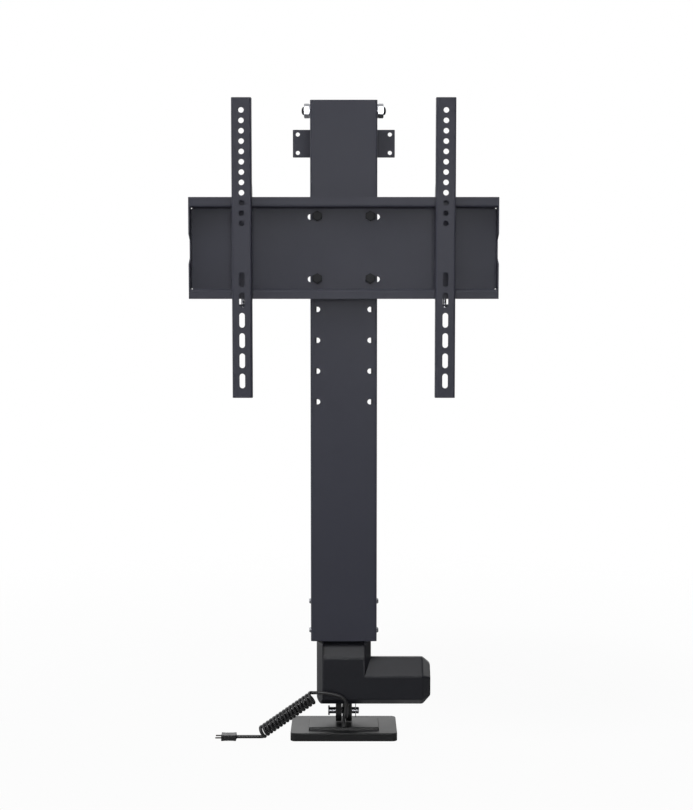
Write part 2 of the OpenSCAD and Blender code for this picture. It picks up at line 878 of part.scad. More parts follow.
module wall_bracket() {
    color(steel_black) difference() {
        translate([0, post_back, bracket_mid_z]) rotate([-90, 0, 0]) rounded_slab(bracket_w, bracket_h, bracket_t, 1);
        for (x = [-1, 1], z = [-1, 1]) bar_y(bracket_hole_d, post_back - 1, wall_y + 1,
            x * bracket_gauge / 2, bracket_mid_z + z * bracket_pitch / 2);
        for (s = [-1, 1]) bar_y(bracket_screw_d + bore_gap, post_back - 1, wall_y + 1, 0,
            bracket_mid_z + s * bracket_screw_pitch / 2);
    }
}

// The heads sit inside the post, and the shanks end flush with the wall
module bracket_screws() {
    color(zinc) for (s = [-1, 1]) translate([0, web_front, bracket_mid_z + s * bracket_screw_pitch / 2])
        rotate([0, 0, -90]) button_screw(bracket_screw_d, shell_head_d + 2, button_h, post_wall + bracket_t);
}

// Each upper shoe bears on the column's side and on its rear lip, with a cut corner clear of the bend
module post_shoes() {
    z0 = post_shoe_top - post_shoe_h;
    x = column_in - shoe_gap;
    y = column_back_in - shoe_gap;
    color(nylon_white) both_sides() difference() {
        translate([0, 0, z0]) linear_extrude(post_shoe_h) polygon([
            [post_x, -post_shoe_front], [x, -post_shoe_front], [x, y - post_shoe_cut], [x - post_shoe_cut, y], [post_x, y]
        ]);
        for (d = post_shoe_screw_drops) {
            bar_x(shoe_screw_d + bore_gap, post_x - 1, column_in, post_shoe_screw_y, post_shoe_top - d);
            bar_x(shoe_head_d + bore_gap, column_in - post_shoe_sink, column_in, post_shoe_screw_y, post_shoe_top - d);
        }
    }
}

module post_shoe_screws() {
    seat = column_in - post_shoe_sink;
    color(zinc) both_sides() for (d = post_shoe_screw_drops)
        translate([seat, post_shoe_screw_y, post_shoe_top - d])
            button_screw(shoe_screw_d, shoe_head_d, shoe_head_h, seat - post_x + post_wall + 1);
}

// Lifting column

module lift_column() {
    x = column_w / 2 - column_wall / 2;
    y = column_d / 2 - column_wall / 2;
    lip = column_w / 2 - column_lip;
    color(steel_black) difference() {
        translate([0, 0, column_z]) linear_extrude(column_h)
            sheet_outline([[-lip, y], [-x, y], [-x, -y], [x, -y], [x, y], [lip, y]], column_wall);
        for (s = [-1, 1], k = [0 : column_hole_rows - 1]) bar_y(column_hole_d, column_front - 1,
            column_front + column_wall + 1, s * hole_x, hole_top_z - k * column_hole_pitch);
        bar_x(cross_d + bore_gap, -column_w, column_w, 0, cross_z);
        for (z = column_shoe_screw_zs)
            bar_x(shoe_screw_d + bore_gap, -column_w, column_w, column_shoe_screw_y, z);
    }
}

// Each lower shoe fills the gap beside the post and hooks round its front edge
module column_shoes() {
    z1 = column_shoe_z + column_shoe_h;
    inner = post_x + shoe_gap;
    color(nylon_white) both_sides() difference() {
        union() {
            box([inner, -column_shoe_y, column_shoe_z], [column_in, column_shoe_y, z1]);
            box([inner - column_shoe_hook, -column_shoe_y, column_shoe_z],
                [inner + eps, -post_front - shoe_gap, z1]);
        }
        for (z = column_shoe_screw_zs)
            bar_x(shoe_screw_d, column_in - 8, column_in + 1, column_shoe_screw_y, z);
    }
}

module column_shoe_screws() {
    color(zinc) both_sides() for (z = column_shoe_screw_zs)
        translate([column_w / 2, column_shoe_screw_y, z])
            button_screw(shoe_screw_d - seat_gap, shoe_head_d, shoe_head_h, column_wall + 7);
}

module cross_bolt() {
    taper = 1.2;
    color(zinc) {
        bar_x(cross_d, -cross_reach + taper, cross_reach - taper, 0, cross_z);
        both_sides() translate([cross_reach - taper - eps, 0, cross_z]) rotate([0, 90, 0])
            cylinder(d1 = cross_d, d2 = cross_d - 2 * taper, h = taper);
    }
}

module cross_nuts() {
    color(zinc) both_sides() difference() {
        along_x(column_w / 2, column_w / 2 + cross_nut_h) translate([0, cross_z]) rotate(90) hexagon(cross_nut_af);
        bar_x(cross_d + seat_gap, column_w / 2 - 1, cross_reach, 0, cross_z);
    }
}

module spacer_tubes() {
    color(zinc) both_sides() difference() {
        bar_x(spacer_d, rod_d / 2, column_in, 0, cross_z);
        bar_x(cross_d + bore_gap, 0, column_w, 0, cross_z);
    }
}

// TV plate

// Middle line of the plate's section: a web with two shelves that end in outward lips
module plate_section() {
    h = plate_wall / 2;
    sheet_outline([
        [plate_front + h, plate_low], [plate_front + h, web_low + h], [plate_back - h, web_low + h],
        [plate_back - h, web_top - h], [plate_front + h, web_top - h], [plate_front + h, plate_top]
    ], plate_wall);
}

// End flange with its hand notch
module plate_end() {
    mid = (plate_top + plate_low) / 2 - 1;
    n = notch_h / 2;
    bottom = n - notch_d / 2;
    polygon([
        [plate_back, plate_low], [plate_back, plate_top], [plate_front, plate_top], [plate_front, mid + n],
        [plate_front + notch_d, mid + bottom], [plate_front + notch_d, mid - bottom],
        [plate_front, mid - n], [plate_front, plate_low]
    ]);
}

module tv_plate() {
    edge = plate_w / 2;
    color(steel_black) difference() {
        union() {
            along_x(-edge + plate_wall / 2, edge - plate_wall / 2) plate_section();
            both_sides() along_x(edge - plate_wall, edge) plate_end();
        }
        for (s = [-1, 1], k = bolt_rows) translate([s * hole_x, 0, hole_top_z - k * column_hole_pitch - slot_drop])
            along_y(plate_back - plate_wall - 1, plate_back + 1) {
                circle(d = plate_slot_w);
                translate([s * plate_slot_l, 0]) circle(d = plate_slot_w);
                translate([s * plate_slot_l / 2, 0]) square([plate_slot_l, plate_slot_w], center = true);
            }
        for (s = [-1, 1], z = [web_top - plate_wall, web_low + plate_wall])
            bar_y(relief_d, plate_back - plate_wall - 1, plate_back + 1, s * (edge - plate_wall), z);
    }
}

module plate_bolt_places() {
    for (s = [-1, 1], k = bolt_rows) translate([s * hole_x, 0, hole_top_z - k * column_hole_pitch]) children();
}

module plate_bolts() {
    head = plate_back - plate_wall;
    tip = plate_back + column_wall + nut_h + nut_proud;
    color(zinc) plate_bolt_places() {
        bar_y(bolt_d, head - eps, tip);
        bar_y(bolt_flange_d, head - bolt_flange_t, head);
        along_y(head - bolt_head_h, head - bolt_flange_t + eps) rotate(30) hexagon(bolt_head_af);
    }
}

module plate_nuts() {
    face = plate_back + column_wall;
    color(zinc) plate_bolt_places() difference() {
        along_y(face, face + nut_h) hexagon(nut_af);
        bar_y(bolt_d + seat_gap, face - 1, face + nut_h + 1);
    }
}

// Rails

// The hooks in a rail's flanges hang over the plate's upper lip
module rail_hook() {
    throat = plate_front + plate_wall + slide_gap;
    top = plate_top + slide_gap;
    polygon([
        [rail_back - 1, top], [throat, top], [throat, plate_top - hook_drop], [throat + hook_t, plate_top - hook_drop],
        [throat + hook_t, top + hook_rise - hook_t], [rail_back, top + hook_rise + hook_t], [rail_back - 1, top + hook_rise + hook_t]
    ]);
}

module rail() {
    x = rail_side - rail_wall / 2;
    y = rail_front + rail_wall / 2;
    tab_back = lock_y + lock_screw_d;
    color(steel_black) difference() {
        union() {
            translate([0, 0, rail_low]) linear_extrude(rail_l)
                sheet_outline([[-x, rail_back], [-x, y], [x, y], [x, rail_back]], rail_wall);
            both_sides() along_x(rail_side - rail_wall, rail_side) rail_hook();
            box([-rail_side + rail_wall / 2, rail_back - rail_wall, lock_tab_z],
                [rail_side - rail_wall / 2, tab_back, lock_tab_z + lock_tab_t]);
        }
        for (k = [0 : rail_hole_count - 1]) bar_y(rail_hole_d, rail_front - 1, rail_front + rail_wall + 1, 0,
            rail_top - rail_hole_top - k * rail_hole_pitch);
        for (k = [0 : rail_slot_count - 1]) translate([0, 0, rail_top - rail_slot_top - k * rail_slot_pitch])
            along_y(rail_front - 1, rail_front + rail_wall + 1) slot_up(rail_slot_l, rail_hole_d);
        bar_z(lock_screw_d + bore_gap, lock_tab_z - 1, lock_tab_z + lock_tab_t + 1, 0, lock_y);
    }
}

module slot_up(l, w) {
    square([w, l - w], center = true);
    for (s = [-1, 1]) translate([0, s * (l - w) / 2]) circle(d = w);
}

// Locking screw that stands up behind the plate's lower lip
module lock_screw() {
    color(zinc) translate([0, lock_y, 0]) {
        bar_z(lock_screw_d, lock_tab_z - eps, web_low - slide_gap - 2);
        difference() {
            bar_z(lock_head_d, lock_tab_z - lock_head_h, lock_tab_z);
            translate([0, 0, lock_tab_z - lock_head_h - 1]) linear_extrude(4) hexagon(5);
        }
    }
}

module left_rail() {
    translate([-rail_x, 0, 0]) rail();
}

module right_rail() {
    translate([rail_x, 0, 0]) rail();
}

module left_lock_screw() {
    translate([-rail_x, 0, 0]) lock_screw();
}

module right_lock_screw() {
    translate([rail_x, 0, 0]) lock_screw();
}

// Cord

// A closed skin over rings of points, each ring with the same number of points
module tube_solid(points, rings, sides) {
    polyhedron(points, concat(
        [for (i = [1 : sides - 2]) [0, i, i + 1]],
        [for (i = [1 : sides - 2]) [(rings - 1) * sides, (rings - 1) * sides + i + 1, (rings - 1) * sides + i]],
        [for (r = [0 : rings - 2], s = [0 : sides - 1])
            each let (a = r * sides + s, b = r * sides + (s + 1) % sides)
                [[a, a + sides, b], [b, a + sides, b + sides]]]
    ));
}

// Directions along a route, and a frame that is carried from ring to ring without twisting
function way_at(p, i) = unit(p[min(i + 1, len(p) - 1)] - p[max(i - 1, 0)]);
function carried(n, t) = unit(n - (n * t) * t);
function normals(p, n, i = 0) =
    let (m = carried(n, way_at(p, i)))
    i == len(p) - 1 ? [m] : concat([m], normals(p, m, i + 1));

module tube_along(p, d, sides) {
    ns = normals(p, [0.1, 1, 0.2]);
    points = [for (i = [0 : len(p) - 1]) let (t = way_at(p, i), n = ns[i], b = cross(t, n))
        each [for (k = [0 : sides - 1]) let (a = 360 * k / sides) p[i] + d / 2 * (n * cos(a) + b * sin(a))]];
    tube_solid(points, len(p), sides);
}

function bezier(a, b, c, d, t) =
    a * pow(1 - t, 3) + 3 * b * t * pow(1 - t, 2) + 3 * c * t * t * (1 - t) + d * pow(t, 3);

// The curls wind round a straight axis, and bend in from the lead and out to the tail
coil_way = unit(coil_to - coil_from);
coil_up = unit([0, 0, 1] - coil_way * ([0, 0, 1] * coil_way));
coil_side = cross(coil_way, coil_up);

function curl(a) = coil_from + (coil_to - coil_from) * a / (360 * curl_turns)
    + curl_d / 2 * (coil_up * cos(a) - coil_side * sin(a));

function curl_way(a) = unit(curl(a + 1) - curl(a - 1));

curl_turns = curl_count + 0.5;
coil_stub = [-cord_d, 0, 0];
coil_first = coil_in + coil_stub;
coil_last = coil_out - coil_stub;
reach = 4;
coil_path = concat(
    [coil_in, coil_first],
    [for (t = [0.25, 0.5, 0.75])
        bezier(coil_first, coil_first + [-reach, 0, 0], curl(0) - curl_way(0) * reach, curl(0), t)],
    [for (i = [0 : curl_turns * curl_rings]) curl(i * 360 / curl_rings)],
    [for (t = [0.25, 0.5, 0.75])
        bezier(curl(360 * curl_turns), curl(360 * curl_turns) + curl_way(360 * curl_turns) * reach,
            coil_last + [reach, 0, 0], coil_last, t)],
    [coil_last, coil_out]
);

// Least gap between the curls' own points that lie more than half a curl apart along the cord
apart = 6;
coil_gap = min([for (i = [0 : len(coil_path) - 1 - apart], j = [i + apart : len(coil_path) - 1])
    norm(coil_path[i] - coil_path[j])]) - cord_d;
echo(coil_gap = coil_gap);

module cord_lead() {
    color(cord_black) tube_along(lead_route, cord_d, cord_sides);
}

module cord_coil() {
    color(cord_black) tube_along(coil_path, cord_d, curl_sides);
}

module cord_tail() {
    color(cord_black) tube_along(tail_route, cord_d, cord_sides);
}

// The gland's flange bears on the housing's underside, and its sleeve tapers along the cord
module cable_gland() {
    sleeve_d = cord_d + 2.4;
    flange_t = 2.6;
    color(moulded_black) translate([gland_xy[0], gland_xy[1], 0]) difference() {
        union() {
            bar_z(gland_d, housing_z - flange_t, housing_z);
            bar_z(gland_d - 3 - seat_gap, housing_z - eps, housing_z + housing_wall);
            translate([0, 0, gland_low]) cylinder(d1 = sleeve_d, d2 = gland_d - 1, h = housing_z - flange_t - gland_low + eps);
        }
        bar_z(cord_d, gland_low + 2, housing_z + housing_wall + 1);
    }
}

// Half of the plug's size a part t of the way along it: it narrows to a waist
function plug_half(size, t) = size / 2 - plug_waist * (1 - pow(2 * t - 1, 2));

module plug_outline(size) {
    polygon(concat(
        [for (i = [0 : plug_steps]) [-plug_l * i / plug_steps, plug_half(size, i / plug_steps)]],
        [for (i = [plug_steps : -1 : 0]) [-plug_l * i / plug_steps, -plug_half(size, i / plug_steps)]]
    ));
}

module plug_body() {
    color(cord_black) translate(plug_at) difference() {
        intersection() {
            along_y(-plug_wide, plug_wide) plug_outline(plug_high);
            translate([0, 0, -plug_high]) linear_extrude(2 * plug_high) plug_outline(plug_wide);
        }
        for (s = [-1, 1]) bar_x(plug_pin_d, -plug_l - 1, -plug_l + 6, s * plug_pin_gauge / 2);
    }
}

module plug_pins() {
    x = plug_at[0] - plug_l;
    color(zinc) for (s = [-1, 1])
        bar_x(plug_pin_d - seat_gap, x - plug_pin_l, x + 5.9, plug_at[1] + s * plug_pin_gauge / 2, plug_at[2]);
}

base_plate();
pivot_pad();
pad_screws();
front_housing();
rear_housing();
housing_screws();
rear_fork();
clevis_pin();
pin_clip();
motor_can();
spindle_bearings();
worm_bush();
outer_tube();
tube_gland();
guide_post();
post_screws();
wall_bracket();
bracket_screws();
post_shoes();
post_shoe_screws();
cable_gland();
cord_lead();
cord_coil();
cord_tail();
plug_body();
plug_pins();
lift_column();
column_shoes();
column_shoe_screws();
cross_bolt();
cross_nuts();
spacer_tubes();
rod_end();
push_rod();
drive_nut();
tv_plate();
plate_bolts();
plate_nuts();
left_rail();
left_lock_screw();
right_rail();
right_lock_screw();
lead_screw();
worm_wheel();
worm_shaft();
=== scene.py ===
import math

import bpy
from mathutils import Matrix, Vector


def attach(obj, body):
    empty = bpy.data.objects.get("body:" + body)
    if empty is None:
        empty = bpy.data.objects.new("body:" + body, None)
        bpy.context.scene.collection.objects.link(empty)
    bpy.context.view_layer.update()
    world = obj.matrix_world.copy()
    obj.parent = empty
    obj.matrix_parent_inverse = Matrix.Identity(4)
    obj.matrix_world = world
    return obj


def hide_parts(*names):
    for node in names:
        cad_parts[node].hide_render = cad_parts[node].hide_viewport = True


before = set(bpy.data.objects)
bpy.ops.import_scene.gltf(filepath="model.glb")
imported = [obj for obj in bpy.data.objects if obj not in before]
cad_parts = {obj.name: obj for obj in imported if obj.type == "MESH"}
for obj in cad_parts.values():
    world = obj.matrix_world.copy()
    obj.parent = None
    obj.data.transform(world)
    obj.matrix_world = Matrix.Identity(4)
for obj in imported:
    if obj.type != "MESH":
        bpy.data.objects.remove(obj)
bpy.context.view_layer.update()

bl_info = {
    "name": "TV Lift Dressing",
    "version": (1, 0, 0),
    "blender": (4, 5, 0),
    "location": "View3D > Sidebar > TV Lift",
    "description": "Finishes, cord, fasteners and studio for an electric TV lift",
    "category": "Object",
}

MM = 0.001
# In millimetres: edges shorter than SLIVER are left-overs of a cut, points within NEAR lie level
SLIVER, NEAR = 0.005, 0.01
# In degrees: faces within FLAT are one face, CAD edges past SHARP are rounded, edges past SMOOTH stay crisp
FLAT, SHARP, SMOOTH = 1, 30, 35
# Sides of turned pieces: stems, small bores, caps, nuts and wide bores
STEM_SIDES, BORE_SIDES, CAP_SIDES, NUT_SIDES, WIDE_SIDES = 24, 32, 40, 48, 64
# Sockets of a Mix node that mixes colours
MIX_A, MIX_B, MIX_OUT = 6, 7, 2

# The photograph's frame and the lens that was fitted to it, then the camera in metres and its tilt in degrees
PHOTO_HIGH, FOCAL_PIXELS, SENSOR = 810, 1500, 36.0
CAMERA_SPOT, CAMERA_TILT, CAMERA_NEAR = (0.0041, -2.2822, 0.6889), 4.5, 0.05

# Levels of the studio's walls to the left, to the back and above: the other sides are dark
WALL_SIDES, WALL_LEVELS = (-1, 1, 1), (0.6, 1.0, 0.3)
# Low down on the right they fall to a share of that, over a range along this way
DUSK_WAY, DUSK_RANGE, DUSK_LEVEL = (1, 0, -1.5), (0.2, 0.7), 0.15
# The floor in metres: its middle, its radius, the reach of its fade, and its share of white to the camera
FLOOR_SPOT, FLOOR_RADIUS, FLOOR_FADE, FLOOR_WHITE = (0, 0.4, -0.0006), 2.4, (0.5, 1.6), 0.96
# A dark card on the floor at the right, behind the lift: its middle, the reach of its fade, and its level
CARD_SPOT, CARD_FADE, CARD_LEVEL = (0.32, 0.36, 0), (0.22, 0.4), 0.05
# Soft boxes: name, place and aim in metres, size in metres, power in watts, spread in degrees
LAMPS = [
    ("overhead_box", (0.0, -1.1, 2.5), (0, 0, 0.4), 1.6, 17.0, 180),
    ("left_box", (-2.2, -0.9, 0.8), (0, 0, 0.5), 1.4, 8.0, 180),
    ("front_box", (0.15, -2.9, 0.95), (0, 0, 0.9), 0.9, 1.5, 44),
    ("edge_box", (-0.4, -2.05, 1.6), (0, 0, 0.1), 0.4, 0.42, 40),
    ("right_box", (2.2, 0.7, 1.3), (0, 0, 0.5), 1.4, 9.0, 180),
    ("back_box", (-0.3, 2.2, 1.8), (0, 0, 0.5), 1.4, 8.0, 180),
    ("under_box", (0.075, 0.0, 0.018), (0.075, 0.0, 1), 0.1, 0.011, 180),
]

# Route of the supply cord in millimetres, the same as in the part's source
LEAD_ROUTE = [
    (3, -30, 48), (3, -30, 44.5), (3, -31.8, 40), (3, -35.5, 36.8), (3.2, -40.5, 35.6),
    (3.4, -45.5, 37), (3.7, -49.6, 40.5), (4, -52, 45.5), (4.2, -52.6, 51.5), (4, -52.4, 58),
    (2, -52, 64.3), (-3, -51.6, 69), (-11, -51.2, 72.2), (-21, -50.8, 74.2), (-31, -50.4, 75.4),
    (-38, -50, 75.8), (-42.5, -50, 75.8),
]
COIL_FROM = (-47.3, -56, 70.2)
COIL_TO = (-124.3, -43, 12.8)
TAIL_ROUTE = [(-132, -40, 4.8), (-137, -40, 4.8), (-148, -40, 4.8), (-159, -40, 4.8), (-164, -40, 4.8)]
COIL_OUT, PLUG_PLACE = TAIL_ROUTE[0], TAIL_ROUTE[-1]
# Turns of the curls and points on each, then the reach and steps of the bends at both ends
CURL_TURNS, CURL_STEPS = 15.5, 20
BEND_REACH, BEND_STEPS = 4, 8

# The housing in millimetres: the gear part's half width, back and top, the motor part, and what they share
GEAR_X, GEAR_BACK, GEAR_TOP = 41.5, 40.5, 150
MOTOR_START, MOTOR_END, MOTOR_BACK, MOTOR_TOP = 10, 132.2, 9, 123.8
HOUSING_FRONT, HOUSING_LOW, HOUSING_WALL = -46, 54.6, 3
EDGE_BEVEL, REAR_BEVEL, GEAR_BEVEL, MOTOR_BEVEL, MOTOR_REAR_BEVEL, END_BEVEL = 9.5, 4, 21.7, 24, 23, 12
CORNER_ROUND, POCKET_HALF, RIM_DEPTH, PARTING_ROUND, PARTING_NEAR = 9, 31.2, 1.0, 0.35, 0.001
# Bevels beside the pocket: their size, how far inside the front they stand, and where they start and end
RIDGE_BEVEL, RIDGE_SINK, RIDGE_FROM, RIDGE_TO = 1.3, 0.1, 0.2, GEAR_BEVEL + 2
# Openings: the tube's bore and depth, the fork's half sizes and depth, the gland's bore with its ends
TUBE_BORE, TUBE_DEEP, FORK_HALF, FORK_DEEP, GLAND_BORE = 20.05, 20, (12.55, 16.7), 5, (4.0, -2, 5)
# Cutters: how far they stand past a face, past the pocket and its rim, and half a long one with its overhang
OVER, POCKET_OVER, RIM_OVER, LONG_HALF, LONG_OVER = 2, 10, 8, 60, 5

# Places of the fasteners in millimetres, with the way that each head faces
FRONT, BACK, LEFT, RIGHT, UP, DOWN = (0, -1, 0), (0, 1, 0), (-1, 0, 0), (1, 0, 0), (0, 0, 1), (0, 0, -1)
COLUMN_HALF, CROSS_PLACE, PAD_SEAT = 50, (0, 0, 952.5), 6.3
PLATE_BOLTS = [((x, -37, z), FRONT) for x in (-39.4, 39.4) for z in (701.6, 794)]
CROSS_NUTS = [((s * COLUMN_HALF, 0, CROSS_PLACE[2]), (s, 0, 0)) for s in (-1, 1)]
COLUMN_SCREWS = [((s * COLUMN_HALF, -14, z), (s, 0, 0)) for s in (-1, 1) for z in (164.4, 209.4)]
SHELL_SCREWS = [((x, GEAR_BACK, z), BACK) for x in (-34, 34) for z in (64.5, 138)]
MOTOR_SCREWS = [((121, MOTOR_BACK, z), BACK) for z in (68, 93)]
POST_SCREWS = [((x, 43, z), BACK) for x in (-15, 15) for z in (80, 132)]
BRACKET_SCREWS = [((0, 40.5, z), FRONT) for z in (897, 919)]
POST_SHOE_SCREWS = [((s * 43.5, 8, z), (s, 0, 0)) for s in (-1, 1) for z in (900, 920)]
PAD_SCREWS = [((x, y, PAD_SEAT), DOWN) for x in (-41.6, 41.6) for y in (-25, 14)]
LOCK_SCREWS = {"left": (-149.2, -56.5, 660.25), "right": (149.2, -56.5, 660.25)}
PIN_PLACE = (0, 0, 34.6)
GLAND_PLACE = (*LEAD_ROUTE[0][:2], HOUSING_LOW)

# Button-head screws: name, CAD node, body, places, then thread, head width and height, shank and socket
SCREW_SETS = [
    ("lower_shoe_screws", "column_shoe_screws", "carriage", COLUMN_SCREWS, (3.9, 8.3, 3.0, 9, 2.5)),
    ("shell_screws", "housing_screws", "frame", SHELL_SCREWS + MOTOR_SCREWS, (5, 8.5, 2.6, 39, 3)),
    ("tongue_screws", "post_screws", "frame", POST_SCREWS, (5, 8.5, 2.6, 5.5, 3)),
    ("strap_screws", "bracket_screws", "frame", BRACKET_SCREWS, (6, 10.5, 2.6, 5.5, 4)),
    ("upper_shoe_screws", "post_shoe_screws", "frame", POST_SHOE_SCREWS, (4, 8.3, 3.0, 14, 2.5)),
]
# Hexagons in millimetres: width across flats, lower and upper end
BOLT_HEXAGON, NUT_HEXAGON = (13.8, 0.6, 5), (19, 1.5, 9.7)
FOOT_SOCKET, LOCK_SOCKET = (4, 2, 6), (5, -7, -3)
# Threads in millimetres: radius, pitch, lower and upper end
BOLT_THREAD, LOCK_THREAD = (2.72, 1.0, -10, -5), (2.62, 1.0, 3.6, 19.6)
BAR_THREADS = [(5.42, 1.75, 52, 60), (5.42, 1.75, -60, -52)]
# Bores in millimetres: radius, lower and upper end
NUT_BORE, WASHER_BORE, PIN_BORE = (6.05, -1, 12), (6.4, -1, 12), (5.1, -9, 9)
PAD_CAP_BORE, PAD_STEM_BORE = (5.1, -1, PAD_SEAT), (2.6, 5, 14)
# Outlines of turned pieces in millimetres: radius and height, the lowest first
BOLT_CROWN = [(8.1, 0.5), (8.1, 3.6), (5.9, 5.1)]
BOLT_FACE = [(6.3, 0), (6.5, 0.15), (6.5, 0.7)]
BOLT_STEM = [(2.5, -11), (3, -10.5), (3, 0.1)]
NUT_CROWNS = [(9.4, 1.4), (11.4, 2.5), (11.4, 8.7), (9.4, 9.8)]
WASHER = [(10.9, 0), (11, 0.2), (11, 1.3), (10.8, 1.5)]
FOOT_CAP = [(4.7, 0), (5, 0.3), (5, 3.9), (4.6, 4.3)]
FOOT_STEM = [(2.2, -9.4), (2.5, -9.1), (2.5, 0.1)]
LOCK_CAP = [(4.6, -6), (5, -5.6), (5, -0.5), (4.7, 0)]
LOCK_STEM = [(2.55, -0.1), (2.55, 19.9), (2, 20.4)]
CLEVIS_PIN = [
    (6.6, -24.3), (7.3, -24.0), (7.5, -23.6), (7.5, -22.1), (7.3, -21.9), (5.0, -21.9), (5.0, 17.6),
    (4.0, 17.65), (4.0, 18.75), (5.0, 18.8), (5.0, 22.3), (4.6, 23.1), (3.6, 23.5),
]
PLUG_COLLAR = [(2.3, -0.4), (3.4, -0.4), (3.6, -0.1), (3.6, 0.5), (2.9, 0.9), (2.3, 0.9)]
PLUG_CONTACT = [(1.1, -5), (1.1, 8.2), (0.9, 8.8), (0.5, 9)]
# The cross bolt in millimetres: its radius, half its length up to the domed tips, and their height
BAR_RADIUS, BAR_HALF, BAR_DOME, DOME_STEPS = 6, 60.6, 2.9, 8

# The plug in millimetres: its size, the depth of its waist, its pins' place, its cuts and its rounding
PLUG_LONG, PLUG_WIDE, PLUG_HIGH, PLUG_WAIST, PIN_HALF = 22.7, 17, 9.6, 0.6, 6.0
PLUG_CUTS, PLUG_ROUND = 12, 1.1
# Ribs of its grip: the first one's place, their pitch and count, width, sink, rise and rounding
GRIP_FROM, GRIP_PITCH, GRIP_COUNT = 8.4, 1.5, 5
GRIP_WIDE, GRIP_SINK, GRIP_RISE, GRIP_ROUND = 0.7, 0.5, 0.25, 0.28
# The sleeve where the cord leaves the housing: a flange, a spigot, and rings that taper
SLEEVE_FLANGE, SLEEVE_SPIGOT = [(5.3, 0), (5.5, -0.2), (5.5, -2.4), (5.3, -2.6)], (3.9, -0.1, 3)
RING_COUNT, RING_RADIUS, RING_TOP, RING_TAPER, RING_PITCH = 3, 4.6, -2.6, 0.45, 1.3
RING_STEPS = [(0, 0.05), (0, 0.75), (0.5, 0.9), (0.5, 1.25)]

# The foot in millimetres
BASE_LOW, BASE_HIGH, BASE_CORNER = (-81.3, -49, 0), (81.3, 46, 12.6), 7
PAD_LOW, PAD_HIGH, PAD_CORNER, PAD_TAPER = (-53.6, -34, 12.6), (53.6, 23, 17), 2, 0.95
LUG_HALF, LUG_ROUND, LUG_FRONT, LUG_BACK, LUG_SHOULDER = 2.3, 12, -30, 19, (9.19, 42.31)
LUG_SINK, LUG_EDGE, LUG_SHARP = 1, 0.5, 40


def linear(code):
    """Linear colour of an sRGB hex value."""
    parts = [int(code[i:i + 2], 16) / 255 for i in (1, 3, 5)]
    return [p / 12.92 if p <= 0.04045 else ((p + 0.055) / 1.055) ** 2.4 for p in parts]


def colour(label, words, code):
    return bpy.props.FloatVectorProperty(
        name=label, description=words, subtype="COLOR", size=3, min=0, max=1, default=linear(code))


def length(label, words, default):
    return bpy.props.FloatProperty(
        name=label, description=words, default=default, min=0, unit="LENGTH", subtype="DISTANCE")


class LiftColours(bpy.types.PropertyGroup):
    """Colours of the lift's finishes"""
    coat: colour("Powder coat", "Column, plate, rails and post", "#393A45")
    base: colour("Base paint", "Foot slab and pad", "#151618")
    moulding: colour("Moulding", "Gear and motor housing", "#1E1F25")
    casting: colour("Fork paint", "Fork under the housing", "#18181A")
    bright: colour("Bright zinc", "Nuts, screws, pin and clip", "#A6A7AC")
    phosphate: colour("Phosphate", "Plate bolts and cross bolt", "#242528")
    steel: colour("Turned steel", "Screw, worm and motor can", "#A9AAAD")
    bronze: colour("Bronze", "Worm wheel, bush and nut", "#B08A4A")
    nylon: colour("Nylon", "Guide shoes", "#E2DFD3")
    jacket: colour("Cord jacket", "Cord and plug", "#1D1D1F")
    contact: colour("Contacts", "Plug contacts", "#4A4845")
    floor: colour("Floor", "Studio floor", "#A4A4A4")


class LiftSizes(bpy.types.PropertyGroup):
    """Sizes of the dressing"""
    cord: length("Cord diameter", "Outer diameter of the supply cord", 5.1 * MM)
    curl: length("Curl diameter", "Mean diameter of the curls", 15.5 * MM)
    sheet_edge: length("Sheet edge", "Rounding of sheet metal edges", 0.15 * MM)
    mould_edge: length("Moulded edge", "Rounding of the housing's edges", 2.2 * MM)
    slab_edge: length("Slab edge", "Rounding of the foot's edges", 1.6 * MM)


def add_node(tree, kind, links=None, values=None, **settings):
    """Adds one node: settings are its properties or inputs by name, values and links its inputs by key."""
    node = tree.nodes.new(kind)
    for key, value in settings.items():
        if hasattr(node, key):
            setattr(node, key, value)
        else:
            node.inputs[key.replace("_", " ")].default_value = value
    for key, value in (values or {}).items():
        node.inputs[key].default_value = value
    for key, source in (links or {}).items():
        tree.links.new(source, node.inputs[key])
    return node


def rgba(value):
    return (*value, 1.0)


def finish(name):
    """A new material with its shader and Object coordinates."""
    material = bpy.data.materials.new(name)
    material.use_nodes = True
    tree = material.node_tree
    shader = tree.nodes["Principled BSDF"]
    place = tree.nodes.new("ShaderNodeTexCoord").outputs["Object"]
    return material, tree, shader, place


def surface(name, base, patch, patch_mm, rough, rough_mm, grain, grain_mm, grain_deep,
            details=(3.0, 2.0, 2.0), **sockets):
    """A finish with patches of colour, drifting roughness and a fine bump, each of a size in millimetres."""
    material, tree, shader, place = finish(name)
    noises = [add_node(tree, "ShaderNodeTexNoise", {"Vector": place}, Scale=1 / MM / size, Detail=detail)
              for size, detail in zip((patch_mm, rough_mm, grain_mm), details)]
    tones, drift, bumps = (noise.outputs["Fac"] for noise in noises)
    dark, light = [c * (1 - patch) for c in base], [min(1, c * (1 + patch)) for c in base]
    tone = add_node(tree, "ShaderNodeMix", {"Factor": tones}, {MIX_A: rgba(dark), MIX_B: rgba(light)},
                    data_type="RGBA")
    span = add_node(tree, "ShaderNodeMapRange", {"Value": drift}, To_Min=rough[0], To_Max=rough[1])
    bump = add_node(tree, "ShaderNodeBump", {"Height": bumps}, Strength=grain, Distance=grain_deep * MM)
    tree.links.new(tone.outputs[MIX_OUT], shader.inputs["Base Color"])
    tree.links.new(span.outputs["Result"], shader.inputs["Roughness"])
    tree.links.new(bump.outputs["Normal"], shader.inputs["Normal"])
    for key, value in sockets.items():
        shader.inputs[key.replace("_", " ")].default_value = value
    return material


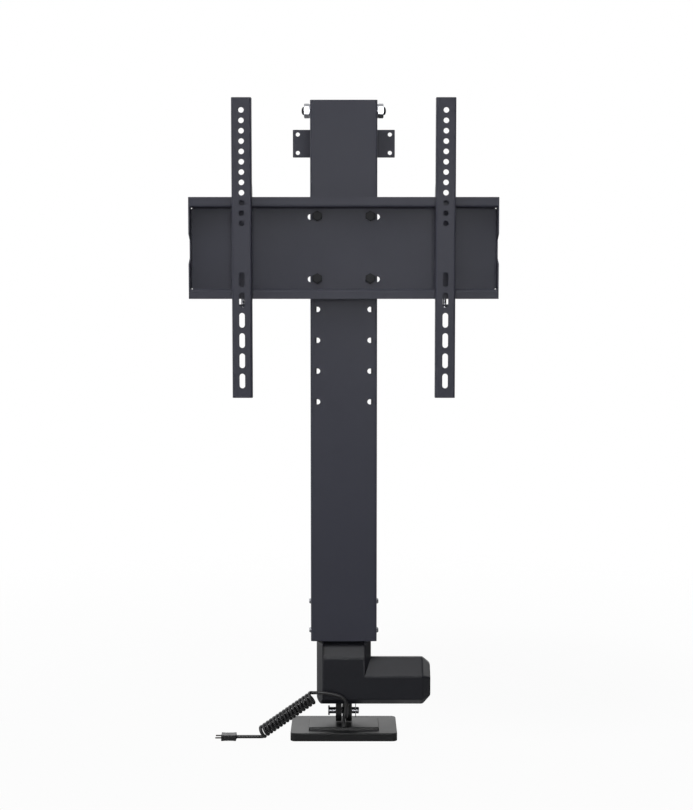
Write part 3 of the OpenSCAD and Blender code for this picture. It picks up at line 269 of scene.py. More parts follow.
def powder_coat(colours):
    # Polyester powder coat on folded steel: satin, with a fine orange peel that breaks up highlights.
    # The real peel is about 0.6 mm, drawn at 2 mm so that it shows in the render.
    return surface("satin_powder_coated_steel", colours.coat, patch=0.05, patch_mm=60, rough=(0.42, 0.54),
                   rough_mm=90, grain=0.25, grain_mm=2.0, grain_deep=0.12, Specular_IOR_Level=0.28)


def slab_paint(colours):
    # Satin paint on a ground steel slab: smoother than the powder coat, with faint cloudiness.
    return surface("satin_painted_slab", colours.base, patch=0.06, patch_mm=35, rough=(0.38, 0.5),
                   rough_mm=50, grain=0.22, grain_mm=1.6, grain_deep=0.08, Specular_IOR_Level=0.5)


def moulded_abs(colours):
    # ABS moulded in a spark-eroded tool: matt, with a fine even grain.
    # The real grain is about 0.3 mm, drawn at 1.3 mm so that it shows.
    return surface("spark_grained_abs", colours.moulding, patch=0.16, patch_mm=1.3, rough=(0.3, 0.4),
                   rough_mm=40, grain=0.45, grain_mm=1.3, grain_deep=0.12, details=(1.0, 2.0, 1.0),
                   Specular_IOR_Level=0.33)


def fork_paint(colours):
    # Painted zinc casting: semi-matt, with the slight ripple of a cast skin.
    return surface("painted_casting", colours.casting, patch=0.1, patch_mm=12, rough=(0.4, 0.55),
                   rough_mm=15, grain=0.2, grain_mm=3.0, grain_deep=0.15)


def phosphate(colours):
    # Phosphated and oiled steel: nearly black crystals with a soft sheen, not a mirror.
    return surface("phosphated_steel", colours.phosphate, patch=0.12, patch_mm=3, rough=(0.34, 0.46),
                   rough_mm=5, grain=0.2, grain_mm=0.8, grain_deep=0.04, Specular_IOR_Level=0.1)


def nylon(colours):
    # Moulded nylon: off-white and waxy.
    return surface("moulded_nylon", colours.nylon, patch=0.03, patch_mm=20, rough=(0.38, 0.5), rough_mm=25,
                   grain=0.15, grain_mm=2.0, grain_deep=0.08, IOR=1.53)


def pvc(colours):
    # Extruded PVC: a black skin of half gloss with slight drag marks.
    return surface("extruded_pvc", colours.jacket, patch=0.08, patch_mm=6, rough=(0.32, 0.42), rough_mm=10,
                   grain=0.15, grain_mm=1.0, grain_deep=0.05, Specular_IOR_Level=0.6)


def bare_metal(name, base, rough, drift_mm, marks_mm):
    """A bare or plated metal with faint tool marks."""
    return surface(name, base, patch=0.06, patch_mm=drift_mm, rough=rough, rough_mm=drift_mm, grain=0.12,
                   grain_mm=marks_mm, grain_deep=0.03, Metallic=1.0)


def zinc_plate(colours):
    # Bright zinc plate on cold-headed steel: close to a mirror, softened by faint tool marks.
    return bare_metal("bright_zinc_plate", colours.bright, rough=(0.14, 0.24), drift_mm=8, marks_mm=1.0)


def turned_steel(colours):
    # Turned steel: a pale satin metal with tool marks.
    return bare_metal("turned_steel", colours.steel, rough=(0.28, 0.4), drift_mm=15, marks_mm=1.2)


def bronze(colours):
    # Turned bronze: warm metal, matt from the tool.
    return bare_metal("turned_bronze", colours.bronze, rough=(0.3, 0.42), drift_mm=8, marks_mm=1.2)


def contact_brass(colours):
    # Nickel plate on drawn brass: a dull grey metal with fine draw marks.
    return bare_metal("nickelled_contact_brass", colours.contact, rough=(0.22, 0.34), drift_mm=4,
                      marks_mm=0.8)


def pale_floor(colours):
    # Matt painted studio floor: pale and even, with a dark card laid on it.
    material, tree, shader, place = finish("pale_floor")
    shader.inputs["Roughness"].default_value = 0.9
    shader.inputs["Specular IOR Level"].default_value = 0.1
    # The card keeps the housing's right-hand bevel dim
    away = add_node(tree, "ShaderNodeVectorMath", {0: place}, {1: CARD_SPOT}, operation="DISTANCE")
    bare = add_node(tree, "ShaderNodeMapRange", {"Value": away.outputs["Value"]},
                    From_Min=CARD_FADE[0], From_Max=CARD_FADE[1])
    card = [CARD_LEVEL * c for c in colours.floor]
    tone = add_node(tree, "ShaderNodeMix", {"Factor": bare.outputs["Result"]},
                    {MIX_A: rgba(card), MIX_B: rgba(colours.floor)}, data_type="RGBA")
    tree.links.new(tone.outputs[MIX_OUT], shader.inputs["Base Color"])
    # To the camera the floor is mostly backdrop white, and keeps a soft shadow
    ray = add_node(tree, "ShaderNodeLightPath")
    white = add_node(tree, "ShaderNodeEmission", Color=(1, 1, 1, 1), Strength=1.0)
    share = add_node(tree, "ShaderNodeMath", {0: ray.outputs["Is Camera Ray"]}, {1: FLOOR_WHITE},
                     operation="MULTIPLY")
    lit = add_node(tree, "ShaderNodeMixShader",
                   {0: share.outputs[0], 1: shader.outputs[0], 2: white.outputs[0]})
    # The floor fades out, so that no rim shows against the white world
    reach = add_node(tree, "ShaderNodeVectorMath", {0: place}, operation="LENGTH")
    fade = add_node(tree, "ShaderNodeMapRange", {"Value": reach.outputs["Value"]},
                    From_Min=FLOOR_FADE[0], From_Max=FLOOR_FADE[1])
    clear = add_node(tree, "ShaderNodeBsdfTransparent")
    blend = add_node(tree, "ShaderNodeMixShader",
                     {0: fade.outputs["Result"], 1: lit.outputs[0], 2: clear.outputs[0]})
    tree.links.new(blend.outputs[0], tree.nodes["Material Output"].inputs["Surface"])
    return material


def white_studio():
    """A world that is white to the camera, and to the lift is bright behind, above and to the left."""
    world = bpy.data.worlds.new("white_studio")
    world.use_nodes = True
    tree = world.node_tree
    tree.nodes.clear()
    path = add_node(tree, "ShaderNodeLightPath").outputs
    seen = add_node(tree, "ShaderNodeMath", {0: path["Is Camera Ray"], 1: path["Is Transmission Ray"]},
                    operation="MAXIMUM")
    way = add_node(tree, "ShaderNodeTexCoord").outputs["Generated"]
    facing = add_node(tree, "ShaderNodeVectorMath", {0: way}, {1: WALL_SIDES}, operation="MULTIPLY")
    facing = add_node(tree, "ShaderNodeVectorMath", {0: facing.outputs[0]}, operation="MAXIMUM")
    room = add_node(tree, "ShaderNodeVectorMath", {0: facing.outputs[0]}, {1: WALL_LEVELS},
                    operation="DOT_PRODUCT")
    low_right = add_node(tree, "ShaderNodeVectorMath", {0: way}, {1: DUSK_WAY}, operation="DOT_PRODUCT")
    dusk = add_node(tree, "ShaderNodeMapRange", {"Value": low_right.outputs["Value"]},
                    From_Min=DUSK_RANGE[0], From_Max=DUSK_RANGE[1], To_Min=1.0, To_Max=DUSK_LEVEL)
    room = add_node(tree, "ShaderNodeMath", {0: room.outputs["Value"], 1: dusk.outputs["Result"]},
                    operation="MULTIPLY")
    level = add_node(tree, "ShaderNodeMix", {"Factor": seen.outputs[0], "A": room.outputs["Value"]}, B=1.0)
    white = add_node(tree, "ShaderNodeBackground", {"Strength": level.outputs["Result"]}, Color=(1, 1, 1, 1))
    add_node(tree, "ShaderNodeOutputWorld", {"Surface": white.outputs[0]})
    return world


def clear_selection():
    """Leaves edit mode and selects nothing."""
    if bpy.context.object and bpy.context.object.mode != "OBJECT":
        bpy.ops.object.mode_set(mode="OBJECT")
    bpy.ops.object.select_all(action="DESELECT")


def take(piece):
    """Selects one piece alone and makes it the active one."""
    clear_selection()
    piece.select_set(True)
    bpy.context.view_layer.objects.active = piece


def paint(names, material, edge=0.0):
    """Gives CAD nodes a finish, and rounds their sharp edges with modifiers."""
    for name in names:
        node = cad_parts[name]
        node.data.materials.clear()
        node.data.materials.append(material)
        if edge:
            weld = node.modifiers.new("Weld", "WELD")
            weld.merge_threshold = NEAR * MM
            bevel = node.modifiers.new("Edges", "BEVEL")
            bevel.width = edge
            bevel.segments = 2
            bevel.limit_method = "ANGLE"
            bevel.angle_limit = math.radians(SHARP)
            bevel.harden_normals = True


def block(low, high):
    """A block between two corners in millimetres."""
    clear_selection()
    low, high = Vector(low) * MM, Vector(high) * MM
    bpy.ops.mesh.primitive_cube_add(size=1, location=(low + high) / 2)
    bpy.context.object.scale = high - low
    bpy.ops.object.transform_apply(location=True, rotation=True, scale=True)
    return bpy.context.object


def edit(piece, kind="VERT"):
    """Opens a piece in edit mode with all of it selected."""
    take(piece)
    bpy.ops.object.mode_set(mode="EDIT")
    bpy.ops.mesh.select_mode(type=kind)
    bpy.ops.mesh.select_all(action="SELECT")


def face_out(piece):
    """Turns all faces outwards and leaves edit mode."""
    bpy.ops.mesh.select_all(action="SELECT")
    bpy.ops.mesh.normals_make_consistent(inside=False)
    bpy.ops.object.mode_set(mode="OBJECT")
    return piece


def choose(piece, kind, pick):
    """Selects the vertices or edges of a piece that pick chooses by their points, in edit mode."""
    edit(piece, kind)
    bpy.ops.mesh.select_all(action="DESELECT")
    bpy.ops.object.mode_set(mode="OBJECT")
    points = [vertex.co / MM for vertex in piece.data.vertices]
    if kind == "VERT":
        for vertex, point in zip(piece.data.vertices, points):
            vertex.select = pick(point)
    else:
        for edge in piece.data.edges:
            edge.select = pick(*(points[k] for k in edge.vertices))
    bpy.ops.object.mode_set(mode="EDIT")


def shave(piece, planes, inset=0):
    """Cuts off what lies outside each plane, given by a point in millimetres and the way out."""
    edit(piece)
    for spot, way in planes:
        bpy.ops.mesh.select_all(action="SELECT")
        way = Vector(way).normalized()
        spot = (Vector(spot) - way * inset) * MM
        bpy.ops.mesh.bisect(plane_co=spot, plane_no=way, use_fill=True, clear_outer=True)
    return face_out(piece)


def round_edges(piece, amount, segments, pick):
    """Rounds the edges that pick chooses by their two ends, in millimetres."""
    choose(piece, "EDGE", pick)
    bpy.ops.mesh.bevel(offset=amount * MM, segments=segments, affect="EDGES", clamp_overlap=False)
    bpy.ops.object.mode_set(mode="OBJECT")
    return piece


def round_sharp(piece, amount, segments, angle=20):
    """Clears needless edges off flat faces, then rounds all sharp edges."""
    edit(piece, "EDGE")
    bpy.ops.mesh.dissolve_limited(angle_limit=math.radians(FLAT))
    bpy.ops.mesh.select_all(action="DESELECT")
    bpy.ops.mesh.edges_select_sharp(sharpness=math.radians(angle))
    bpy.ops.mesh.bevel(offset=amount * MM, segments=segments, affect="EDGES", clamp_overlap=False)
    bpy.ops.object.mode_set(mode="OBJECT")
    return piece


def shade(piece):
    """Shades rounded faces smooth, and keeps flat faces flat beside them."""
    take(piece)
    bpy.ops.object.shade_smooth_by_angle(angle=math.radians(SMOOTH))
    flat = piece.modifiers.new("Flat faces", "WEIGHTED_NORMAL")
    flat.keep_sharp = True
    bpy.ops.object.modifier_apply(modifier=flat.name)


def lathe(profile, sides):
    """A solid round Z from (radius, height) pairs in millimetres, the lowest first."""
    clear_selection()
    radius, height = profile[0]
    bpy.ops.mesh.primitive_circle_add(vertices=sides, radius=radius * MM, fill_type="NGON",
                                      location=(0, 0, height * MM))
    piece = bpy.context.object
    bpy.ops.object.transform_apply(location=True)
    bpy.ops.object.mode_set(mode="EDIT")
    bpy.ops.mesh.select_all(action="SELECT")
    for r, z in profile[1:]:
        bpy.ops.mesh.extrude_region_move(TRANSFORM_OT_translate={"value": (0, 0, (z - height) * MM)})
        bpy.ops.transform.resize(value=(r / radius, r / radius, 1), center_override=(0, 0, z * MM))
        radius, height = r, z
    return face_out(piece)


def rod(radius, low, high, sides):
    """A plain bar round Z, or the cutter of a bore."""
    return lathe([(radius, low), (radius, high)], sides)


def hexagon(flats, low, high):
    """A hexagonal bar round Z, by its width across flats."""
    return rod(flats / 2 / math.cos(math.pi / 6), low, high, 6)


def combine(piece, other, way):
    """Cuts a piece by another, or joins the two, and throws the other away."""
    take(piece)
    change = piece.modifiers.new("Combine", "BOOLEAN")
    change.operation = way
    change.solver = "EXACT"
    change.object = other
    bpy.ops.object.modifier_apply(modifier=change.name)
    bpy.data.objects.remove(other)
    return piece


def cut(piece, other):
    """Takes another piece's shape out of a piece."""
    return combine(piece, other, "DIFFERENCE")


def clean(piece):
    """Takes away the slivers that a cut can leave."""
    edit(piece)
    bpy.ops.mesh.remove_doubles(threshold=SLIVER * MM)
    bpy.ops.mesh.dissolve_degenerate(threshold=SLIVER * MM)
    bpy.ops.object.mode_set(mode="OBJECT")
    return piece


def ridge(radius, pitch, low, high, steps=20, depth=0.55):
    """A screw thread: one triangular ridge wound round Z, its depth a share of the pitch."""
    clear_selection()
    bpy.ops.mesh.primitive_circle_add(vertices=3, radius=depth * pitch * MM,
                                      location=(radius * MM, 0, low * MM),
                                      rotation=(math.pi / 2, math.pi / 2, 0))
    piece = bpy.context.object
    bpy.ops.object.transform_apply(location=True, rotation=True)
    turns = (high - low) / pitch
    wind = piece.modifiers.new("Thread", "SCREW")
    wind.axis = "Z"
    wind.angle = math.tau * turns
    wind.screw_offset = (high - low) * MM
    wind.steps = wind.render_steps = int(steps * turns)
    bpy.ops.object.modifier_apply(modifier=wind.name)
    bpy.ops.object.mode_set(mode="EDIT")
    bpy.ops.mesh.select_all(action="DESELECT")
    bpy.ops.mesh.select_mode(type="EDGE")
    bpy.ops.mesh.select_non_manifold()
    bpy.ops.mesh.edge_face_add()
    return face_out(piece)


def joined(pieces):
    """Joins pieces into the first of them."""
    clear_selection()
    for piece in pieces:
        piece.select_set(True)
    bpy.context.view_layer.objects.active = pieces[0]
    if len(pieces) > 1:
        bpy.ops.object.join()
    return bpy.context.view_layer.objects.active


def set_down(piece, spots):
    """Copies a piece modelled along +Z to each spot, each with its own mesh, and joins the copies."""
    twins = []
    for place, way in spots:
        twin = piece.copy()
        twin.data = piece.data.copy()
        bpy.context.collection.objects.link(twin)
        turn = Vector(UP).rotation_difference(Vector(way)).to_matrix().to_4x4()
        twin.matrix_world = Matrix.Translation(Vector(place) * MM) @ turn
        twins.append(twin)
    bpy.data.objects.remove(piece)
    bpy.context.view_layer.update()
    whole = joined(twins)
    bpy.ops.object.transform_apply(location=True, rotation=True, scale=True)
    return whole


def enter(piece, name, material, body, node):
    """Names a finished piece, gives it its finish and body, and lets it stand for its CAD node."""
    piece.name = piece.data.name = name
    piece.data.materials.clear()
    piece.data.materials.append(material)
    shade(piece)
    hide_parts(node)
    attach(piece, body)


class LIFT_OT_studio(bpy.types.Operator):
    """Adds the floor, the lamps, the white world and the camera"""
    bl_idname = "lift.studio"
    bl_label = "Studio"

    def execute(self, context):
        scene = context.scene
        scene.view_settings.view_transform = "Standard"
        clear_selection()
        bpy.ops.mesh.primitive_circle_add(vertices=WIDE_SIDES, radius=FLOOR_RADIUS, fill_type="NGON",
                                          location=FLOOR_SPOT)
        floor = context.object
        floor.name = "studio_floor"
        bpy.ops.object.transform_apply(location=True)
        floor.data.materials.append(pale_floor(scene.lift_colours))
        scene.world = white_studio()

        for name, spot, aim, size, power, spread in LAMPS:
            clear_selection()
            bpy.ops.object.light_add(type="AREA", location=spot)
            lamp = context.object
            lamp.name = name
            lamp.data.shape = "SQUARE"
            lamp.data.size = size
            lamp.data.energy = power
            lamp.data.spread = math.radians(spread)
            lamp.visible_camera = False
            lamp.rotation_euler = (Vector(aim) - Vector(spot)).to_track_quat("-Z", "Y").to_euler()

        clear_selection()
        bpy.ops.object.camera_add(location=CAMERA_SPOT, rotation=(math.radians(90 - CAMERA_TILT), 0, 0))
        camera = context.object
        camera.name = "photo_camera"
        camera.data.sensor_fit = "VERTICAL"
        camera.data.sensor_height = SENSOR
        camera.data.lens = FOCAL_PIXELS / PHOTO_HIGH * SENSOR
        camera.data.clip_start = CAMERA_NEAR
        camera.data.dof.use_dof = False
        scene.camera = camera
        return {"FINISHED"}


def smooth_route(points, parts=6):
    """Points of a smooth curve through a route."""
    p = [Vector(q) for q in points]
    ends = [2 * p[0] - p[1]] + p + [2 * p[-1] - p[-2]]
    out = []
    for a, b, c, d in zip(ends, ends[1:], ends[2:], ends[3:]):
        for k in range(parts):
            t = k / parts
            out.append(0.5 * (2 * b + (c - a) * t + (2 * a - 5 * b + 4 * c - d) * t * t
                              + (3 * b - a - 3 * c + d) * t ** 3))
    return out + [p[-1]]


def cord_points(sizes):
    """The whole cord in metres: lead, curls and tail."""
    start, end = Vector(COIL_FROM), Vector(COIL_TO)
    way = (end - start).normalized()
    up = (Vector(UP) - way * way.z).normalized()
    side = way.cross(up)
    radius = sizes.curl / MM / 2

    def curl(turn):
        a = math.tau * turn
        return start + (end - start) * turn / CURL_TURNS + radius * (up * math.cos(a) - side * math.sin(a))

    def curl_way(turn, nudge=0.003):
        return (curl(turn + nudge) - curl(turn - nudge)).normalized()

    def bend(a, b, c, d):
        return [a * (1 - t) ** 3 + 3 * b * t * (1 - t) ** 2 + 3 * c * t * t * (1 - t) + d * t ** 3
                for t in (k / BEND_STEPS for k in range(1, BEND_STEPS))]

    stub = Vector((-sizes.cord / MM, 0, 0))
    reach = Vector((-BEND_REACH, 0, 0))
    first = Vector(LEAD_ROUTE[-1]) + stub
    last = Vector(COIL_OUT) - stub
    points = smooth_route(LEAD_ROUTE) + [first]
    points += bend(first, first + reach, curl(0) - curl_way(0) * BEND_REACH, curl(0))
    points += [curl(k / CURL_STEPS) for k in range(int(CURL_TURNS * CURL_STEPS) + 1)]
    points += bend(curl(CURL_TURNS), curl(CURL_TURNS) + curl_way(CURL_TURNS) * BEND_REACH, last - reach, last)
    points += [last] + smooth_route(TAIL_ROUTE)
    return [p * MM for p in points]


class LIFT_OT_cord(bpy.types.Operator):
    """Adds the curly supply cord as one curve"""
    bl_idname = "lift.cord"
    bl_label = "Cord"

    def execute(self, context):
        sizes = context.scene.lift_sizes
        points = cord_points(sizes)
        line = bpy.data.curves.new("supply_cord", "CURVE")
        line.dimensions = "3D"
        line.bevel_depth = sizes.cord / 2
        line.bevel_resolution = 4
        line.use_fill_caps = True
        line.resolution_u = 1
        spline = line.splines.new("POLY")
        spline.points.add(len(points) - 1)
        for spot, p in zip(spline.points, points):
            spot.co = (*p, 1)
        spline.use_smooth = True
        cord = bpy.data.objects.new("supply_cord", line)
        context.collection.objects.link(cord)
        line.materials.append(bpy.data.materials["extruded_pvc"])
        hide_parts("cord_lead", "cord_coil", "cord_tail")
        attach(cord, "frame")
        return {"FINISHED"}


class LIFT_OT_sheet_metal(bpy.types.Operator):
    """Finishes the column, plate, rails, post, bracket and tube"""
    bl_idname = "lift.sheet_metal"
    bl_label = "Sheet metal"

    def execute(self, context):
        colours, sizes = context.scene.lift_colours, context.scene.lift_sizes
        paint(["lift_column", "tv_plate", "left_rail", "right_rail", "guide_post", "wall_bracket",
               "outer_tube"], powder_coat(colours), sizes.sheet_edge)
        return {"FINISHED"}


def upright(a, b):
    """Tells whether an edge stands straight up."""
    return abs(a.x - b.x) < NEAR and abs(a.y - b.y) < NEAR


def foot_slab(edge):
    """The base slab with rounded corners and edges, and stepped bores for the pad's screws."""
    low, top = BASE_LOW[2], BASE_HIGH[2]
    slab = round_edges(block(BASE_LOW, BASE_HIGH), BASE_CORNER, 8, upright)
    slab = round_edges(slab, edge, 4, lambda a, b: min(a.z, b.z) > top - NEAR)
    slab = round_edges(slab, edge / 2, 2, lambda a, b: max(a.z, b.z) < low + NEAR)
    holes = [((*place[:2], 0), UP) for place, _ in PAD_SCREWS]
    slab = cut(slab, set_down(rod(*PAD_CAP_BORE, CAP_SIDES), holes))
    return cut(slab, set_down(rod(*PAD_STEM_BORE, BORE_SIDES), holes))


def pad_plate(edge):
    """The pad, whose front and back lean in, with its corners and top edges rounded."""
    top = PAD_HIGH[2]
    pad = round_edges(block(PAD_LOW, PAD_HIGH), PAD_CORNER, 4, upright)
    choose(pad, "VERT", lambda point: point.z > top - NEAR)
    bpy.ops.transform.resize(value=(1, PAD_TAPER, 1),
                             center_override=(0, (PAD_LOW[1] + PAD_HIGH[1]) / 2 * MM, 0))
    bpy.ops.object.mode_set(mode="OBJECT")
    return round_edges(pad, edge, 5, lambda a, b: min(a.z, b.z) > top - NEAR)


def pad_lug():
    """The lug on the pad, whose sides run up to a round eye for the pin."""
    side, rise = LUG_SHOULDER
    top = PAD_HIGH[2]
    lug = block((-LUG_HALF, LUG_FRONT, top - LUG_SINK), (LUG_HALF, LUG_BACK, rise))
    slope = rise - top
    lug = shave(lug, [((0, LUG_FRONT, top), (0, -slope, -side - LUG_FRONT)),
                      ((0, LUG_BACK, top), (0, slope, LUG_BACK - side))])
    eye = set_down(rod(LUG_ROUND, -LUG_HALF, LUG_HALF, WIDE_SIDES), [(PIN_PLACE, RIGHT)])
    lug = combine(lug, eye, "UNION")
    lug = cut(lug, set_down(rod(*PIN_BORE, CAP_SIDES), [(PIN_PLACE, RIGHT)]))
    return round_sharp(lug, LUG_EDGE, 2, LUG_SHARP)


class LIFT_OT_foot(bpy.types.Operator):
    """Adds the base slab and the pivot pad, and finishes the fork"""
    bl_idname = "lift.foot"
    bl_label = "Foot"

    def execute(self, context):
        colours, sizes = context.scene.lift_colours, context.scene.lift_sizes
        coat = slab_paint(colours)
        edge = sizes.slab_edge / MM
        enter(foot_slab(edge), "base_slab", coat, "foot", "base_plate")
        pad = joined([pad_plate(edge), pad_lug()])
        enter(pad, "lug_pad", coat, "foot", "pivot_pad")
        paint(["rear_fork"], fork_paint(colours), sizes.slab_edge / 3)
        return {"FINISHED"}


def gear_block(inset):
    """The gear part of the housing, pulled in by the amount given."""
    piece = block((inset - GEAR_X, HOUSING_FRONT + inset, HOUSING_LOW + inset),
                  (GEAR_X - inset, GEAR_BACK - inset, GEAR_TOP - inset))
    return shave(piece, [
        ((0, HOUSING_FRONT + EDGE_BEVEL, HOUSING_LOW), (0, -1, -1)),
        ((0, GEAR_BACK - REAR_BEVEL, HOUSING_LOW), (0, 1, -1)),
        ((0, GEAR_BACK - REAR_BEVEL, GEAR_TOP), (0, 1, 1)),
        ((GEAR_X - EDGE_BEVEL, HOUSING_FRONT, 0), (MOTOR_BEVEL, -EDGE_BEVEL, 0)),
        ((EDGE_BEVEL - GEAR_X, HOUSING_FRONT, 0), (-MOTOR_BEVEL, -EDGE_BEVEL, 0)),
    ], inset)


def gear_corner(inset):
    """What the round at the gear part's lower left corner takes away."""
    x, z = CORNER_ROUND - GEAR_X, HOUSING_LOW + CORNER_ROUND
    piece = block((-GEAR_X - OVER, -LONG_HALF, HOUSING_LOW - OVER), (x, LONG_HALF, z))
    bar = rod(CORNER_ROUND - inset, -LONG_HALF - LONG_OVER, LONG_HALF + LONG_OVER, WIDE_SIDES)
    return cut(piece, set_down(bar, [((x, 0, z), BACK)]))


def gear_pocket(inset):
    """The bevel at the gear part's top, as the block that it cuts away."""
    half = POCKET_HALF + inset
    piece = block((-half, HOUSING_FRONT - OVER, GEAR_TOP - GEAR_BEVEL - POCKET_OVER),
                  (half, HOUSING_FRONT + GEAR_BEVEL + POCKET_OVER, GEAR_TOP + OVER))
    return shave(piece, [((0, HOUSING_FRONT, GEAR_TOP - GEAR_BEVEL), (0, 1, -1))], -inset)


def pocket_rim():
    """What the rounding of the pocket's front edge takes away, midway between the two faces."""
    way = Vector((0, -math.cos(math.pi / 8), math.sin(math.pi / 8)))
    edge = Vector((0, HOUSING_FRONT, GEAR_TOP - GEAR_BEVEL))
    half = Vector((POCKET_HALF, RIM_OVER, RIM_OVER))
    return shave(block(edge - half, edge + half), [(edge - way * RIM_DEPTH, -way)])


def pocket_ridges():
    """What the small bevels at both sides of the pocket take away."""
    y, z = HOUSING_FRONT + RIDGE_SINK, GEAR_TOP - GEAR_BEVEL
    spots = [((side * POCKET_HALF, y, z), UP) for side in (-1, 1)]
    return set_down(rod(RIDGE_BEVEL, RIDGE_FROM, RIDGE_TO, 4), spots)


def motor_block(inset):
    """The motor part of the housing, pulled in by the amount given."""
    piece = block((MOTOR_START, HOUSING_FRONT + inset, HOUSING_LOW + inset),
                  (MOTOR_END - inset, MOTOR_BACK - inset, MOTOR_TOP - inset))
    front, back = HOUSING_FRONT, MOTOR_BACK
    piece = shave(piece, [
        ((0, front + EDGE_BEVEL, HOUSING_LOW), (0, -1, -1)),
        ((0, back - REAR_BEVEL, HOUSING_LOW), (0, 1, -1)),
        ((0, front + MOTOR_BEVEL, MOTOR_TOP), (0, -1, 1)),
        ((0, back - MOTOR_REAR_BEVEL, MOTOR_TOP), (0, 1, 1)),
    ], inset)
    # Bevels round the end, one for each of the eight faces
    root = math.sqrt(2)
    faces = [(180, -front, END_BEVEL), (135, (MOTOR_TOP - front - MOTOR_BEVEL) / root, END_BEVEL),
             (90, MOTOR_TOP, END_BEVEL), (45, (back + MOTOR_TOP - MOTOR_REAR_BEVEL) / root, REAR_BEVEL),
             (0, back, REAR_BEVEL), (-45, (back - HOUSING_LOW - REAR_BEVEL) / root, REAR_BEVEL),
             (-90, -HOUSING_LOW, END_BEVEL), (-135, (-front - HOUSING_LOW - EDGE_BEVEL) / root, END_BEVEL)]
    ends = []
    for angle, away, bevel in faces:
        way = Vector((1, math.cos(math.radians(angle)), math.sin(math.radians(angle))))
        ends.append((way * (MOTOR_END - bevel + away) / 2, way))
    return shave(piece, ends, inset)


def housing_form(edge):
    """The whole housing before it is split: rounded outside, hollow, with its openings."""
    # Each part is rounded before the two are joined, then the pocket, its rim and the round corner are cut
    form = combine(round_sharp(gear_block(0), edge, 4), round_sharp(motor_block(0), edge, 4), "UNION")
    form = clean(cut(form, gear_pocket(0)))
    form = clean(cut(form, pocket_rim()))
    form = cut(form, gear_corner(0))
    form = cut(form, pocket_ridges())
    # Inside, the walls are of one thickness, and openings take the tube, the fork and the cord
    inside = cut(gear_block(HOUSING_WALL), gear_pocket(HOUSING_WALL))
    inside = cut(inside, gear_corner(HOUSING_WALL))
    form = cut(form, combine(inside, motor_block(HOUSING_WALL), "UNION"))
    form = cut(form, rod(TUBE_BORE, GEAR_TOP - TUBE_DEEP, GEAR_TOP + OVER, WIDE_SIDES))
    x, y = FORK_HALF
    form = cut(form, block((-x, -y, HOUSING_LOW - OVER), (x, y, HOUSING_LOW + FORK_DEEP)))
    return cut(form, set_down(rod(*GLAND_BORE, BORE_SIDES), [(GLAND_PLACE, UP)]))


class LIFT_OT_housing(bpy.types.Operator):
    """Adds the two moulded shells of the gear and motor housing"""
    bl_idname = "lift.housing"
    bl_label = "Housing"

    def execute(self, context):
        colours, sizes = context.scene.lift_colours, context.scene.lift_sizes
        moulding = moulded_abs(colours)
        form = housing_form(sizes.mould_edge / MM)
        far = 2 * MOTOR_END
        halves = [("front_shell", "front_housing", -far, 0), ("rear_shell", "rear_housing", 0, far)]
        for name, node, low, high in halves:
            shell = form.copy()
            shell.data = form.data.copy()
            context.collection.objects.link(shell)
            shell = combine(shell, block((-far, low, -far), (far, high, far)), "INTERSECT")
            # A fine round at the parting line
            shell = round_edges(shell, PARTING_ROUND, 2, lambda a, b: abs(a.y) + abs(b.y) < PARTING_NEAR)
            enter(shell, name, moulding, "frame", node)
        bpy.data.objects.remove(form)
        paint(["tube_gland"], moulding, sizes.sheet_edge)
        return {"FINISHED"}


class LIFT_OT_drive(bpy.types.Operator):
    """Finishes the screw drive and the guide shoes"""
    bl_idname = "lift.drive"
    bl_label = "Drive"

    def execute(self, context):
        colours, sizes = context.scene.lift_colours, context.scene.lift_sizes
        paint(["lead_screw", "worm_shaft", "motor_can", "spindle_bearings", "push_rod", "rod_end"],
              turned_steel(colours))
        paint(["worm_wheel", "worm_bush", "drive_nut"], bronze(colours))
        paint(["post_shoes", "column_shoes"], nylon(colours), sizes.sheet_edge)
        return {"FINISHED"}


def dome(wide, high, steps=5, rim=0.35, chamfer=0.15, crown=0.62):
    """Profile of a button head from its rim up to its flat crown, a share of its width."""
    r = wide / 2
    flat = crown * r
    arc = []
    for k in range(steps + 1):
        a = math.pi / 2 * k / steps
        arc.append((flat + (r - flat) * math.cos(a), rim + (high - rim) * math.sin(a)))
    return [(r - chamfer, 0), (r, chamfer)] + arc


def button_screw(thread, wide, high, shank, socket, sink=0.35, chamfer=0.5, overlap=0.05):
    """A button-head screw with a hexagon socket: its head stands on z = 0."""
    head = cut(lathe(dome(wide, high), CAP_SIDES), hexagon(socket, high * sink, high + 1))
    r = thread / 2
    stem = lathe([(r - chamfer, -shank), (r, chamfer - shank), (r, overlap)], STEM_SIDES)
    return joined([head, stem])


def socket_screw(cap, socket, stem, *threads):
    """A cap screw with a hexagon socket, from the outlines of its cap and its stem."""
    head = cut(lathe(cap, CAP_SIDES), hexagon(*socket))
    return joined([head, lathe(stem, STEM_SIDES), *(ridge(*thread) for thread in threads)])


def plate_bolt():
    """A hexagon bolt on a washer face, with the corners of its head turned off."""
    head = clean(combine(hexagon(*BOLT_HEXAGON), lathe(BOLT_CROWN, NUT_SIDES), "INTERSECT"))
    return joined([head, lathe(BOLT_FACE, NUT_SIDES), lathe(BOLT_STEM, STEM_SIDES), ridge(*BOLT_THREAD)])


def cross_bar():
    """The cross bolt: a turned bar with threaded ends and domed tips."""
    tip = [(BAR_RADIUS * math.cos(a), BAR_HALF + BAR_DOME * math.sin(a))
           for a in (math.pi / 2 * k / DOME_STEPS for k in range(DOME_STEPS))]
    bar = lathe([(r, -z) for r, z in reversed(tip)] + tip, CAP_SIDES)
    return joined([bar, *(ridge(*thread) for thread in BAR_THREADS)])


